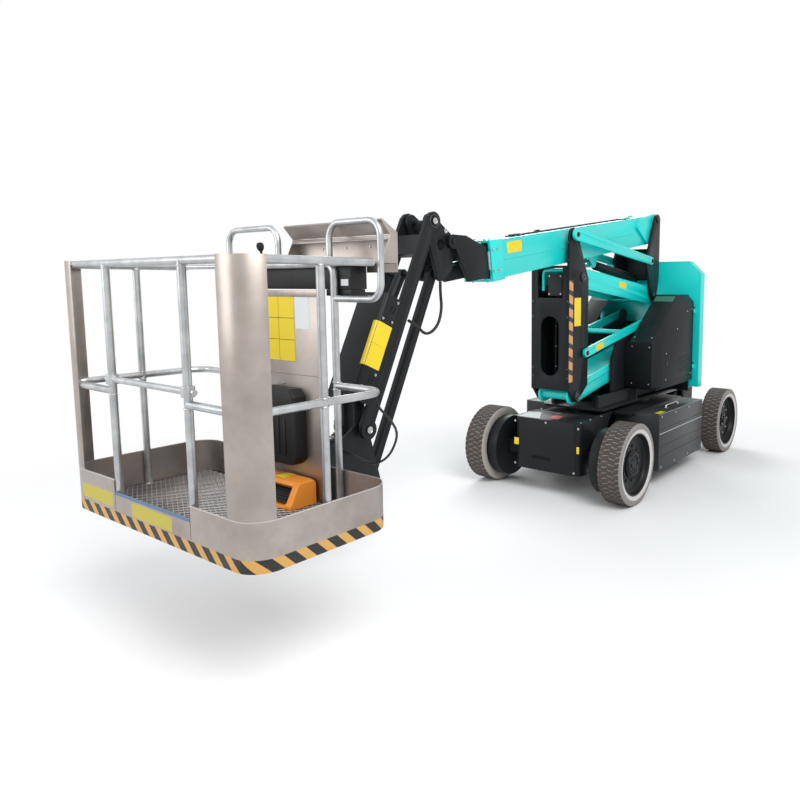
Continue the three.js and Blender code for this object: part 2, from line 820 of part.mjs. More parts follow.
const boomFrame = frameAt(boomPivot, boomSlope);
const boomAxisZ = boomTop - boomHeight / 2;
const slope = THREE.MathUtils.degToRad(boomSlope);
const inBoom = ([x, z]) => {
  const dx = x - boomPivot[0];
  const dz = z - boomPivot[1];
  return [dx * Math.cos(slope) - dz * Math.sin(slope), dx * Math.sin(slope) + dz * Math.cos(slope)];
};
const boomEye = inBoom(boomCylinder.eye);
const boomBottom = boomTop - boomHeight;
const boomStart = 62;

function mainBoomBody() {
  const w = boomHalfWidth;
  const tubeOuter = block(boomStart, boomFront, -w, w, boomBottom, boomTop);
  const bore = [boomStart - 10, boomFront + 10, -w + boomWall, w - boomWall, boomBottom + boomWall, boomTop - boomWall];
  const collarFrom = boomFront - collarLength;
  const collar = block(collarFrom, boomFront, -w - collarStep, w + collarStep, boomBottom - collarStep, boomTop + 8);
  const ear = (s) =>
    cut(
      roundPlate(
        [[0, 0, 58], [260, boomTop - 12, 6], [330, boomTop - 70, 40], [150, boomBottom + 60, 58]],
        s * (w - 3),
        s * (w + 28),
      ),
      bar("y", boomPinRadius + pinPlay, -300, 300, 0, 0),
    );
  const bracket = (s) =>
    roundPlate([[...boomEye, 34], [boomEye[0] - 90, boomBottom + 4, 0], [boomEye[0] + 90, boomBottom + 4, 0]], s * bracketIn, s * (bracketIn + 14));
  const padAt = (s) =>
    block(boomFront - 90, boomFront - 10, s * (flyHalfWidth + 0.5), s * (w - boomWall + 2), boomAxisZ - 70, boomAxisZ + 70);
  const padUp = (s) =>
    block(
      boomFront - 90,
      boomFront - 10,
      -50,
      50,
      boomAxisZ + s * (flyHalfHeight + 0.5),
      boomAxisZ + s * (boomHeight / 2 - boomWall + 2),
    );
  return join(
    cut(join(tubeOuter, collar), block(...bore)),
    bothSides(ear),
    bothSides(bracket),
    bothSides(padAt),
    bothSides(padUp),
  );
}
add("main_boom", mainBoomBody(), cyanPaint, boomFrame);

const head = inBoom(knucklePivot);
function flyBody() {
  const w = flyHalfWidth;
  const low = boomAxisZ - flyHalfHeight;
  const high = boomAxisZ + flyHalfHeight;
  const shell = cut(
    block(flyRear, flyMouth, -w, w, low, high),
    block(flyRear - 10, flyMouth + 10, -w + flyWall, w - flyWall, low + flyWall, high - flyWall),
    block(flyMouth - 190, flyMouth + 10, -w + flyWall + 12, w - flyWall - 12, low - 10, boomAxisZ),
  );
  const cheek = (s) =>
    cut(
      join(
        plate(
          [
            [boomFront + 20, low],
            [head[0] - 110, low],
            [head[0] - 20, head[1] - 60],
            [head[0] - 20, head[1] + 40],
            [head[0] - 125, head[1] + 25],
            [boomFront + 60, high],
            [boomFront + 20, high - 10],
          ],
          s * (w - 1),
          s * (w + headPlate),
        ),
        roundPlate([[...head, 44], [head[0] - 60, head[1] - 10, 40]], s * (w + 0.5), s * (w + headPlate)),
      ),
      bar("y", jibPinRadius + 2 + pinPlay, -300, 300, ...head),
    );
  const rearPads = (s) =>
    join(
      block(flyRear, flyRear + 90, s * (w - 2), s * (boomHalfWidth - boomWall - 0.5), boomAxisZ - 60, boomAxisZ + 60),
      block(
        flyRear,
        flyRear + 90,
        -50,
        50,
        boomAxisZ + s * (flyHalfHeight - 2),
        boomAxisZ + s * (boomHeight / 2 - boomWall - 0.5),
      ),
    );
  return join(
    shell,
    bothSides(cheek),
    bothSides(rearPads),
    bar("y", 14, -w + 2, w - 2, ...levelCylinderBase),
  );
}
add("fly_boom", flyBody(), charcoalPaint, boomFrame);

const levelPin = inBoom(levelRodPin);
const levelSpan = spanOf(levelCylinderBase, levelPin);
const levelCylinder = { barrel: 28, rod: 14, length: 500, retracts: 185 };
cylinderPair(
  "level",
  frameAt(levelCylinderBase, downAngle(levelCylinderBase, levelPin), boomFrame),
  levelSpan,
  levelCylinder,
  14,
  20,
  knuckleIn - weldGap,
  12,
  22,
);

// ---------------------------------------------------------------- jib

const jibLinkTop = plus(jibTop, jibLinkOffset);
add(
  "knuckle",
  join(
    bothSides((s) =>
      join(
        cut(
          join(
            roundPlate([[...knucklePivot, 42], [...jibTop, 46], [...jibLinkTop, 40]], s * knuckleIn, s * knuckleOut),
            roundPlate([[...knucklePivot, 42], [...levelRodPin, 34], [...jibLinkTop, 40]], s * knuckleIn, s * knuckleOut),
          ),
          bar("y", 34, s * 20, s * 120, 2508, 1888, 20),
        ),
        bar("y", jibPinRadius + 2, s * (knuckleIn - 4), s * (flyHalfWidth + headPlate + 5), ...knucklePivot),
        bar("y", jibPinRadius, s * (knuckleIn - 4), s * (beamOut + 6), ...jibTop),
      ),
    ),
    bar("y", jibPinRadius, -knuckleIn - 5, knuckleIn + 5, ...jibLinkTop),
    block(2440, 2470, -knuckleIn - 5, knuckleIn + 5, 1850, 1930),
    block(2552, 2590, -knuckleIn - 5, knuckleIn + 5, 1975, 2030),
  ),
  charcoalPaint,
);

const jibFrame = frameAt(jibTop, jibSlope);
add(
  "jib_arm",
  join(
    bothSides((s) =>
      cut(
        join(
          block(0, jibLength, s * beamIn, s * beamOut, beamBack, beamFront),
          bar("y", 55, s * beamIn, s * beamOut, 0, 0),
          bar("y", 55, s * beamIn, s * beamOut, jibLength, 0),
        ),
        bar("y", jibPinRadius + pinPlay, s * 50, s * 200, 0, 0),
        bar("y", jibPinRadius + pinPlay, s * 50, s * 200, jibLength, 0),
      ),
    ),
    block(115, 240, -beamIn - 4, beamIn + 4, 8, beamFront - 8),
    block(820, 890, -beamIn - 4, beamIn + 4, beamBack + 5, 8),
    bar("y", 15, -beamIn - 4, beamIn + 4, ...jibCylinderBase),
  ),
  charcoalPaint,
  jibFrame,
);

const jibCover = { from: 538, to: 1150, depth: 118, sheet: 4, edge: 16 };
function jibCoverBody() {
  const section = (inset) =>
    new THREE.Shape(
      [
        [-beamOut + inset, beamFront + weldGap - (inset ? 40 : 0)],
        [beamOut - inset, beamFront + weldGap - (inset ? 40 : 0)],
        [beamOut - inset, beamFront + jibCover.depth - jibCover.edge - inset / 2],
        [beamOut - jibCover.edge - inset / 2, beamFront + jibCover.depth - inset],
        [-beamOut + jibCover.edge + inset / 2, beamFront + jibCover.depth - inset],
        [-beamOut + inset, beamFront + jibCover.depth - jibCover.edge - inset / 2],
      ].map((p) => new THREE.Vector2(...p)),
    );
  // drawn in the YZ plane and drawn out along X
  const drawn = (inset, from, to) => {
    const g = new THREE.ExtrudeGeometry(section(inset), { depth: to - from, bevelEnabled: false });
    return solid(g.rotateX(Math.PI / 2).rotateZ(Math.PI / 2).translate(from, 0, 0));
  };
  return cut(drawn(0, jibCover.from, jibCover.to), drawn(jibCover.sheet, jibCover.from - 20, jibCover.to + 20));
}
add("jib_cover", jibCoverBody(), charcoalPaint, jibFrame);

add(
  "jib_link",
  cut(
    join(
      block(0, jibLength, -24, 24, -26, 20),
      bar("y", 34, -24, 24, 0, 0),
      bar("y", 34, -24, 24, jibLength, 0),
    ),
    bar("y", jibPinRadius + pinPlay, -100, 100, 0, 0),
    bar("y", jibPinRadius + pinPlay, -100, 100, jibLength, 0),
  ),
  charcoalPaint,
  frameAt(jibLinkTop, jibSlope),
);

const jibRun = THREE.MathUtils.degToRad(jibSlope);
const jibBottom = plus(jibTop, [jibLength * Math.cos(jibRun), -jibLength * Math.sin(jibRun)]);
const jibLinkBottom = plus(jibBottom, jibLinkOffset);
const rodTurn = THREE.MathUtils.degToRad(jibRodAngle);
const jibRodPin = plus(jibBottom, [jibRodReach * Math.cos(rodTurn), jibRodReach * Math.sin(rodTurn)]);
add(
  "jib_end",
  cut(
    join(
      bothSides((s) =>
        join(
          roundPlate([[...jibBottom, 44], [...jibLinkBottom, 38], [rotatorX - 70, rotator.bottom + 10, 5]], s * endPlateIn, s * endPlateOut),
          roundPlate([[...jibBottom, 44], [...jibRodPin, 30]], s * endPlateIn, s * endPlateOut),
          roundPlate(
            [[...jibBottom, 44], [rotatorX - 70, rotator.bottom + 10, 5], [rotatorX - 70, rotator.top - 10, 5]],
            s * endPlateIn,
            s * endPlateOut,
          ),
          bar("y", jibPinRadius, s * (endPlateIn + 3), s * (beamOut + 6), ...jibBottom),
        ),
      ),
      bar("y", jibPinRadius, -endPlateIn - 5, endPlateIn + 5, ...jibLinkBottom),
      block(3225, rotatorX - 20, -endPlateOut + 2, endPlateOut - 2, rotator.bottom + 20, rotator.top - 20),
      bar("z", rotatorRadius, rotator.bottom, rotator.top, rotatorX, 0, 32),
    ),
    bar("z", 20 + pinPlay, 0, 2000, rotatorX, 0),
  ),
  charcoalPaint,
);

const inJib = ([x, z]) => {
  const dx = x - jibTop[0];
  const dz = z - jibTop[1];
  return [dx * Math.cos(jibRun) - dz * Math.sin(jibRun), dx * Math.sin(jibRun) + dz * Math.cos(jibRun)];
};
const jibRodLocal = inJib(jibRodPin);
const jibSpan = spanOf(jibCylinderBase, jibRodLocal);
cylinderPair(
  "jib",
  frameAt(jibCylinderBase, downAngle(jibCylinderBase, jibRodLocal), jibFrame),
  jibSpan,
  { barrel: 32, rod: 16, length: 430 },
  15,
  20,
  endPlateIn - weldGap,
  14,
  26,
);

// ---------------------------------------------------------------- platform

const inset = pan.sheet + weldGap + railRadius; // from the pan's outer face to a rail's axis
const railY = pan.halfWidth - inset;
const railFrontX = pan.front - inset;
const railRearX = pan.rear + inset;
const railZ = railTop - railRadius;

add(
  "platform_mount",
  join(
    [
      [rotator.top + 5, rotator.top + 19],
      [rotator.bottom - 19, rotator.bottom - 5],
    ].map(([z0, z1]) => join(bar("z", 58, z0, z1, rotatorX, 0, 32), block(rotatorX, 3520, -58, 58, z0, z1))),
    block(3500, 3520, -110, 110, pan.bottom + 7, 900),
    block(3510, pan.rear - weldGap, -110, -80, pan.bottom + 7, 790),
    block(3510, pan.rear - weldGap, 80, 110, pan.bottom + 7, 790),
    bar("z", 20, rotator.bottom - 10, rotator.top + 10, rotatorX, 0),
  ),
  charcoalPaint,
);

const panPrism = (offset, z0, z1) =>
  roundedPrism(
    pan.rear + offset,
    pan.front - offset,
    -pan.halfWidth + offset,
    pan.halfWidth - offset,
    pan.corner - offset,
    z0,
    z1,
  );
add(
  "platform_floor",
  cut(
    panPrism(0, pan.bottom, pan.top),
    panPrism(pan.sheet, pan.floor, pan.top + 50),
    block(pan.front - 30, pan.front + 30, entry.right, entry.left, entry.sill, pan.top + 50),
  ),
  aluminium,
);

for (const [side, s] of Object.entries(sides)) {
  const z0 = pan.top + weldGap;
  const ring = cut(panPrism(0, z0, railTop), panPrism(pan.sheet, z0 - 10, railTop + 10));
  const keep = block(sheetEdgeX, pan.front + 10, s * sheetEdgeY, s * (pan.halfWidth + 10), z0 - 5, railTop + 5);
  add(`corner_sheet_${side}`, ring.intersect(keep), aluminium);
}

const railBend = 96;
const postFoot = pan.floor + weldGap;
const loopTop = 1925;
add(
  "platform_rails",
  join(
    tube([[3660, -railY, railZ], [railFrontX, -railY, railZ], [railFrontX, railY, railZ], [3660, railY, railZ]], railBend),
    bothSides((s) => {
      const gate = s > 0 ? entry.left : entry.right;
      return join(
        tube(
          [
            [railFrontX, gate, midRailZ],
            [railFrontX, s * railY, midRailZ],
            [railRearX, s * railY, midRailZ],
            [railRearX, s * rearPostY, midRailZ],
          ],
          railBend,
        ),
        tube([[railFrontX, gate, postFoot], [railFrontX, gate, railZ]], 0),
        tube([[sidePostX, s * railY, postFoot], [sidePostX, s * railY, railZ]], 0),
      );
    }),
    tube(
      [
        [railRearX, -rearPostY, postFoot],
        [railRearX, -rearPostY, railZ],
        [railRearX, rearPostY, railZ],
        [railRearX, rearPostY, postFoot],
      ],
      50,
    ),
    tube(
      [
        [railRearX, rearPostY, 1590],
        [railRearX, 700, 1590],
        [railRearX, 700, loopTop],
        [railRearX, 375, loopTop],
        [railRearX, 375, railZ],
      ],
      70,
      15,
    ),
    tube(
      [
        [railRearX, -400, railZ - 8],
        [railRearX, -400, loopTop],
        [railRearX, 5, loopTop],
        [railRearX, 5, railZ],
      ],
      70,
      15,
    ),
    bothSides((s) => tube([[3675, s * railY, railZ], [railRearX + 4, s * (rearPostY - 40), railZ]], 0, 12)),
  ),
  galvanised,
);

const panelX = railRearX + railRadius + weldGap;
add("rear_panel", block(panelX, panelX + 3, -255, 330, pan.floor + weldGap, 1628), aluminium);
const boxX = panelX + 3 + weldGap;
const consoleFront = railRearX - railRadius - weldGap;
const consoleBack = rotatorX + beamOut + 14; // clears the jib as the platform swings
const hoodEnds = { left: 25, right: 690 };
const consoleEnds = { left: -320, right: 490 };
add("document_box", roundedPrism(boxX, boxX + 75, -75, 200, 12, 802, 1167), blackPlastic);
add(
  "control_console",
  block(consoleBack, consoleFront, consoleEnds.left, consoleEnds.right, 1632, 1744),
  blackPlastic,
);
add(
  "console_hood",
  join(
    block(consoleBack, consoleBack + 5, consoleEnds.right + 5, hoodEnds.right, 1706, 1752),
    cut(
    plate(
      [
        [consoleBack, 1744 + weldGap],
        [consoleFront, 1744 + weldGap],
        [consoleFront, 1755],
        [consoleBack + 45, 1866],
        [consoleFront, 1925],
        [consoleFront - 6, 1932],
        [consoleBack, 1878],
      ],
      hoodEnds.left,
      hoodEnds.right,
    ),
    plate(
      [[consoleBack + 5, 1752], [consoleFront + 40, 1752], [consoleBack + 40, 1862], [consoleBack + 5, 1862]],
      hoodEnds.left + 5,
      hoodEnds.right - 5,
    ),
    ),
  ),
  aluminium,
);
add("power_box", block(consoleBack + 8, consoleFront - 4, consoleEnds.right - 170, consoleEnds.right - 2, 1602, 1632 - weldGap), blackPlastic);
add(
  "foot_switch",
  cut(
    block(boxX + 10, boxX + 165, -20, 270, pan.floor + weldGap, pan.floor + 118),
    block(boxX + 60, boxX + 200, 20, 230, pan.floor + 30, pan.floor + 90),
  ),
  orangePlastic,
);

// The drop bar slides up the two entry posts on its collars.
const collar = (y) =>
  cut(
    bar("z", railRadius + 10, midRailZ + 30, midRailZ + 70, railFrontX, y, 20),
    bar("z", railRadius + collarPlay, 0, 3000, railFrontX, y, 16),
  );
add(
  "drop_bar",
  join(
    collar(entry.right),
    collar(entry.left),
    bar("y", 14, entry.right + railRadius + 6, entry.left - railRadius - 6, railFrontX, midRailZ + 50, 14),
  ),
  galvanised,
);

// ---------------------------------------------------------------- hoses and cables

// Corner points cut to a smooth run; the two ends stay.
function eased(corners, rounds = 2) {
  let points = corners.map((p) => new THREE.Vector3(...p));
  for (let i = 0; i < rounds; i++) {
    const next = [points[0]];
    for (let k = 0; k < points.length - 1; k++) {
      next.push(points[k].clone().lerp(points[k + 1], 0.25), points[k].clone().lerp(points[k + 1], 0.75));
    }
    next.push(points.at(-1));
    points = next;
  }
  return points;
}

const upperHose = {
  radius: 9,
  run: [
    [2508, 72, 1669.6],
    [2508, 72, 1600],
    [2500, 76, 1500],
    [2550, 82, 1395],
    [2660, 89, 1352],
    [2749.4, 100, 1415.3],
    [2817.1, 100, 1447.6],
  ],
};
add("upper_hose", along(eased(upperHose.run), upperHose.radius, 10), blackPlastic);

const platformCable = {
  radius: 6,
  run: [
    [3602.05, 655, 1177.9],
    [3602.05, 655, 1130],
    [3500, 635, 1050],
    [3375, 560, 950],
    [3300, 430, 820],
    [3245, 300, 745],
    [3225, 200, 715],
    [3290, 125, 775],
    [3290, 55.4, 775],
  ],
};
add("platform_cable", along(eased(platformCable.run), platformCable.radius, 10), blackPlastic);

export default lift;
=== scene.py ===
"""Looks of an articulating boom lift: paint, wear, plates, bolts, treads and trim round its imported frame."""
import json
import math

import bpy
from mathutils import Matrix, Vector


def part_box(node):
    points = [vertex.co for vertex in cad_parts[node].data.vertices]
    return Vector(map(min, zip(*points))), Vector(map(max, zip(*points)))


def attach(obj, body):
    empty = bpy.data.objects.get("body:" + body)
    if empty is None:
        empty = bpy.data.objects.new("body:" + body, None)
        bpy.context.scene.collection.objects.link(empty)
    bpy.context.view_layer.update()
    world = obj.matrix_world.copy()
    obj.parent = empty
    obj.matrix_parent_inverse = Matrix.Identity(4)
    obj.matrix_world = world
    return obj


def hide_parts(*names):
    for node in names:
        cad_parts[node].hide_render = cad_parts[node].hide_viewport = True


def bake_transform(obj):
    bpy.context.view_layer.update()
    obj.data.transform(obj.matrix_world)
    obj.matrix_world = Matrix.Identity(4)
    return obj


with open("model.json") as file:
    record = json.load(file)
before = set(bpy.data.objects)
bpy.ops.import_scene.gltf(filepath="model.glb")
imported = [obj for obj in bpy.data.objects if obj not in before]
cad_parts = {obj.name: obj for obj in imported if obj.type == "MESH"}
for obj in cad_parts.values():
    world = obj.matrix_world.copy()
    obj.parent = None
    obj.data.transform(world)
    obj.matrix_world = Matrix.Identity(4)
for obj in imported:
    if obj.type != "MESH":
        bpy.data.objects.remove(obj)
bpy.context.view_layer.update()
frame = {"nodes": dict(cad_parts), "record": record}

# ---------- camera and lamps

yaw, pitch, roll = 3.773, 0.114, -0.002
look = Vector((math.cos(yaw) * math.cos(pitch), math.sin(yaw) * math.cos(pitch), -math.sin(pitch)))
right = look.cross(Vector((0, 0, 1))).normalized()
up = right.cross(look)
right, up = right * math.cos(roll) + up * math.sin(roll), up * math.cos(roll) - right * math.sin(roll)
camera = bpy.data.objects.new("camera", bpy.data.cameras.new("camera"))
camera.matrix_world = Matrix((right, up, -look)).transposed().to_4x4()
camera.location = (4.18825, 2.835, 1.657)
camera.data.lens = 30.9
camera.data.sensor_width = 36
camera.data.shift_x = -0.127
camera.data.shift_y = -0.0475
bpy.context.collection.objects.link(camera)
bpy.context.scene.camera = camera
bpy.context.scene.view_settings.view_transform = "Standard"


def area_light(name, place, target, size, power):
    lamp = bpy.data.objects.new(name, bpy.data.lights.new(name, "AREA"))
    lamp.data.shape = "RECTANGLE"
    lamp.data.size, lamp.data.size_y = size
    lamp.data.energy = power
    lamp.location = place
    lamp.rotation_euler = (Vector(target) - Vector(place)).to_track_quat("-Z", "Y").to_euler()
    bpy.context.collection.objects.link(lamp)


area_light("key", (3.5, 5.5, 6.5), (0, 0, 0.8), (5, 4), 520)
area_light("fill", (6.5, -2.5, 3.2), (1.0, 0, 1.0), (4, 3), 120)
area_light("back", (-5.5, -4.5, 5.0), (0, 0, 1.2), (5, 3), 260)

shift_x = -1.47175  # the chassis centre, from the middle of the whole length
both = (1, -1)  # the left side and the right side
side_name = {1: "left", -1: "right"}


def at(x, y, z):
    """A point given in millimetres from the chassis centre on the floor."""
    return Vector((x / 1000 + shift_x, y / 1000, z / 1000))


# ---------- shader maths


class Value:
    """A number socket that adds Math nodes when it is used in an expression."""

    def __init__(self, finish, socket):
        self.finish = finish
        self.socket = socket

    def math(self, operation, a, b=0.0):
        return self.finish.node("ShaderNodeMath", {"operation": operation}, {0: a, 1: b})

    def __add__(self, other):
        return self.math("ADD", self, other)

    def __sub__(self, other):
        return self.math("SUBTRACT", self, other)

    def __rsub__(self, other):
        return self.math("SUBTRACT", other, self)

    def __mul__(self, other):
        return self.math("MULTIPLY", self, other)

    __rmul__ = __mul__

    def __mod__(self, other):
        return self.math("FLOORED_MODULO", self, other)

    def __gt__(self, other):
        return self.math("GREATER_THAN", self, other)

    def __lt__(self, other):
        return self.math("LESS_THAN", self, other)

    def __abs__(self):
        return self.math("ABSOLUTE", self)

    def either(self, other):
        return self.math("MAXIMUM", self, other)

    def band(self, low, high):
        """0 under low, 1 over high, and straight between."""
        numbers = {"Value": self, "From Min": low, "From Max": high, "To Min": 0.0, "To Max": 1.0}
        return self.finish.node("ShaderNodeMapRange", {"clamp": True}, numbers)


class Finish:
    """A procedural material: a Principled shader and the nodes that feed it."""

    def __init__(self, name, **numbers):
        self.material = bpy.data.materials.new(name)
        self.material.use_nodes = True
        self.tree = self.material.node_tree
        self.shader = self.tree.nodes["Principled BSDF"]
        self.give(**numbers)

    def feed(self, socket, value):
        if isinstance(value, Value):
            self.tree.links.new(value.socket, socket)
        elif socket.type == "RGBA":
            socket.default_value = (*value, 1)
        else:
            socket.default_value = value

    def give(self, **values):
        """Sets or links the shader's own sockets."""
        for socket, value in values.items():
            self.feed(self.shader.inputs[socket.replace("_", " ")], value)

    def node(self, kind, settings, inputs, out=0):
        made = self.tree.nodes.new(kind)
        for setting, value in settings.items():
            setattr(made, setting, value)
        for socket, value in inputs.items():
            self.feed(made.inputs[socket], value)
        return Value(self, made.outputs[out])

    def axes(self, kind="Object"):
        """The three numbers of Object coordinates, or of the surface's Normal, turned with the piece."""
        split = self.tree.nodes.new("ShaderNodeSeparateXYZ")
        self.feed(split.inputs[0], self.node("ShaderNodeTexCoord", {}, {}, kind))
        return [Value(self, socket) for socket in split.outputs]

    def place(self, stretch):
        """Object coordinates in metres, stretched along each axis."""
        point = self.node("ShaderNodeTexCoord", {}, {}, "Object")
        return self.node("ShaderNodeMapping", {}, {"Vector": point, "Scale": stretch})

    def noise(self, scale, detail=4.0, rough=0.55, stretch=(1, 1, 1)):
        numbers = {"Vector": self.place(stretch), "Scale": scale, "Detail": detail, "Roughness": rough}
        return self.node("ShaderNodeTexNoise", {}, numbers)

    def cells(self, scale, out=0):
        return self.node("ShaderNodeTexVoronoi", {}, {"Vector": self.place((1, 1, 1)), "Scale": scale}, out)

    def mix(self, mask, a, b):
        """Colour a where the mask is 0, colour b where it is 1."""
        return self.node("ShaderNodeMix", {"data_type": "RGBA"}, {0: mask, 6: a, 7: b}, 2)

    def bump(self, height, depth, strength):
        numbers = {"Height": height, "Distance": depth, "Strength": strength}
        self.give(Normal=self.node("ShaderNodeBump", {}, numbers))


def dark(color, share):
    return tuple(c * share for c in color)


def paint(name, color, roughness, dust=0.5, coat=0.0, flake=0.0, gloss=0.5):
    """Sprayed paint: slight orange peel, uneven gloss, dust on what faces up, fine scratches."""
    f = Finish(name, Coat_Weight=coat, Coat_Roughness=0.12, Metallic=flake, Specular_IOR_Level=gloss)
    broad = f.noise(2.3, 5.0)
    scratches = f.noise(60.0, 3.0, 0.6, (1, 0.06, 1)).band(0.70, 0.76)
    scuffs = f.noise(9.0, 8.0, 0.7).band(0.62, 0.74)
    top = f.axes("Normal")[2].band(0.35, 0.95)
    dusty = (top * f.noise(5.0, 6.0, 0.65).band(0.35, 0.75)) * dust
    low = (1.0 - f.axes()[2].band(0.05, 0.55)) * f.noise(7.0, 6.0, 0.7).band(0.3, 0.8) * (0.55 * dust)
    base = f.mix(broad.band(0.3, 0.75), dark(color, 0.93), tuple(min(1.0, c * 1.04) for c in color))
    base = f.mix(scratches * 0.12, base, tuple(0.6 * c + 0.12 for c in color))
    base = f.mix(dusty.either(low), base, (0.30, 0.28, 0.26))
    f.give(Base_Color=base, Roughness=broad * 0.10 + (roughness - 0.05) + scuffs * 0.12 + dusty * 0.35)
    f.bump(f.noise(160.0, 2.0), 0.0004, 0.35)
    return f.material


def moulded(name, color, roughness):
    """Textured plastic with pale handling marks."""
    f = Finish(name, Specular_IOR_Level=0.35)
    broad = f.noise(3.0, 5.0)
    rub = f.noise(14.0, 8.0, 0.7).band(0.63, 0.75)
    base = f.mix(broad, dark(color, 0.85), dark(color, 1.12))
    base = f.mix(rub * 0.25, base, tuple(c + 0.10 for c in color))
    f.give(Base_Color=base, Roughness=broad * 0.14 + (roughness - 0.07))
    f.bump(f.cells(420.0), 0.0003, 0.35)
    return f.material


def metal(name, color, roughness):
    """Plain metal with cloudy shine and fine grain."""
    f = Finish(name, Metallic=1.0)
    shade = f.noise(12.0, 6.0, 0.6)
    f.give(Base_Color=f.mix(shade, dark(color, 0.88), color), Roughness=shade * 0.12 + roughness)
    f.bump(f.noise(300.0, 2.0), 0.0001, 0.3)
    return f.material


def galvanised_steel():
    """Zinc-dipped tube: spangle, grey clouds and rubbed lengths."""
    f = Finish("galvanised_tube", Metallic=0.9)
    shade = f.noise(11.0, 5.0, 0.6)
    rub = f.noise(30.0, 6.0, 0.7, (1, 1, 0.15)).band(0.55, 0.75)
    f.give(Base_Color=f.mix(shade.band(0.3, 0.7), (0.36, 0.375, 0.385), (0.56, 0.575, 0.585)))
    f.give(Roughness=shade * 0.20 + 0.26 + rub * 0.10)
    f.bump(f.cells(55.0, 1), 0.0003, 0.15)
    return f.material


def upright_sheet():
    """Rolled sheet: fine upright lines, cloudy stains and a few long scratches."""
    f = Finish("brushed_sheet_upright", Metallic=0.9)
    tint = (0.40, 0.355, 0.325)
    lines = f.noise(900.0, 2.0, 0.5, (1.0, 1.0, 0.02))
    cloud = f.noise(3.2, 6.0, 0.62)
    marks = f.noise(70.0, 4.0, 0.6, (0.06, 1.0, 1.0)).band(0.66, 0.72)
    f.give(Base_Color=f.mix(cloud.band(0.3, 0.72), dark(tint, 0.74), dark(tint, 1.16)))
    f.give(Roughness=lines * 0.12 + 0.25 + cloud * 0.14 + marks * 0.10)
    f.bump(lines, 0.0002, 0.25)
    return f.material


def pan_sheet():
    """The platform's pan: brushed sheet, striped lower band, two blank yellow plates, a painted highlight
    along the top hem, a painted blue sky reflection on the sill's edge, and a floor painted near black as the
    shade under the expanded sheet.
    """
    f = Finish("platform_pan_sheet")
    x, y, z = f.axes()
    nx, ny, nz = f.axes("Normal")
    mid_x, stripe_pitch = at(3933.5, 0, 0).x, 0.100
    outward = ((x - mid_x) * nx + y * ny) > 0.0
    front = abs(nx) > 0.7071
    side_run = (2.0 * (ny > 0.0) - 1.0) * (x * -1.0 + 3.4767)
    run = front * (y * (2.0 * (nx > 0.0) - 1.0)) + (1.0 - front) * side_run
    stripe = ((run + z) * (1.0 / stripe_pitch) % 1.0) > 0.47
    band = (z < 0.655) * outward * (abs(nz) < 0.5)
    cloud = f.noise(3.2, 6.0, 0.62)
    lines = f.noise(900.0, 2.0, 0.5, (1.0, 1.0, 0.02))
    stain = f.noise(9.0, 7.0, 0.7)
    sheet = f.mix(cloud.band(0.3, 0.72), (0.30, 0.265, 0.24), (0.47, 0.42, 0.385))
    sheet = f.mix(stain.band(0.52, 0.75) * 0.35, sheet, (0.22, 0.19, 0.17))
    # Painted highlight: the top hem above 0.7955 m is lightened where its rolled edge catches the light.
    sheet = f.mix((z > 0.7955) * 0.7, sheet, (0.62, 0.60, 0.58))
    wear = f.noise(26.0, 8.0, 0.75).band(0.60, 0.72)
    tape = f.mix(wear * 0.5, f.mix(stripe, (0.58, 0.315, 0.075), (0.010, 0.010, 0.010)), (0.24, 0.21, 0.18))
    left = (y > -0.608) * (y < -0.318) * (z > 0.670) * (z < 0.734)
    middle = (y > -0.146) * (y < 0.182) * (z > 0.661) * (z < 0.722)
    plates = (nx > 0.7) * (x > at(4280, 0, 0).x) * left.either(middle)
    # Painted reflection: the folded sill ledge is tinted blue where it mirrors the sky.
    sill_sky_reflection = (z > 0.7310) * (z < 0.7455) * (y > -0.291) * (y < 0.321) * (x > at(4270, 0, 0).x)
    # Painted shade: the pan's floor under the expanded sheet is near black, standing for the shade seen
    # through the mesh holes.
    floor = (nz > 0.9) * (z < 0.640)
    shade = f.mix(band, sheet, tape)
    shade = f.mix(plates, shade, (0.47, 0.40, 0.040))
    shade = f.mix(floor, shade, (0.020, 0.019, 0.018))
    coated_or_shade = band.either(plates).either(floor)
    f.give(Base_Color=f.mix(sill_sky_reflection, shade, (0.13, 0.20, 0.33)), Metallic=(1.0 - coated_or_shade) * 0.9)
    f.give(Roughness=lines * 0.12 + 0.24 + cloud * 0.14 + coated_or_shade * 0.12)
    f.bump(lines, 0.0002, 0.25)
    return f.material


def tyre_rubber():
    """Solid tyres: brown-grey crown with pale wavy grooves, a clean pale ring by each rim."""
    f = Finish("solid_tyre_rubber")
    x, y, z = f.axes()
    grey = f.noise(6.0, 8.0, 0.7)
    run, rise = abs(x - shift_x) - 1.0315, z - 0.311
    squared = run * run + rise * rise
    wall = abs(y) > 0.698
    ring_mask = wall * (squared < 0.266**2)
    pale = f.noise(22.0, 6.0, 0.75).band(0.48, 0.72)
    base = f.mix(grey, (0.040, 0.032, 0.028), (0.080, 0.066, 0.058))
    base = f.mix(pale * 0.30, base, (0.15, 0.128, 0.113))
    groove = (1.0 - squared.band(0.3055**2, 0.3075**2)) * (1.0 - wall)
    base = f.mix(groove * 0.80, base, (0.46, 0.42, 0.38))
    base = f.mix(wall * 0.75, base, (0.30, 0.285, 0.27))
    f.give(Base_Color=f.mix(ring_mask * 0.85, base, (0.62, 0.61, 0.60)), Roughness=grey * 0.1 + 0.80)
    f.bump(f.noise(140.0, 6.0, 0.7), 0.0015, 0.5)
    return f.material


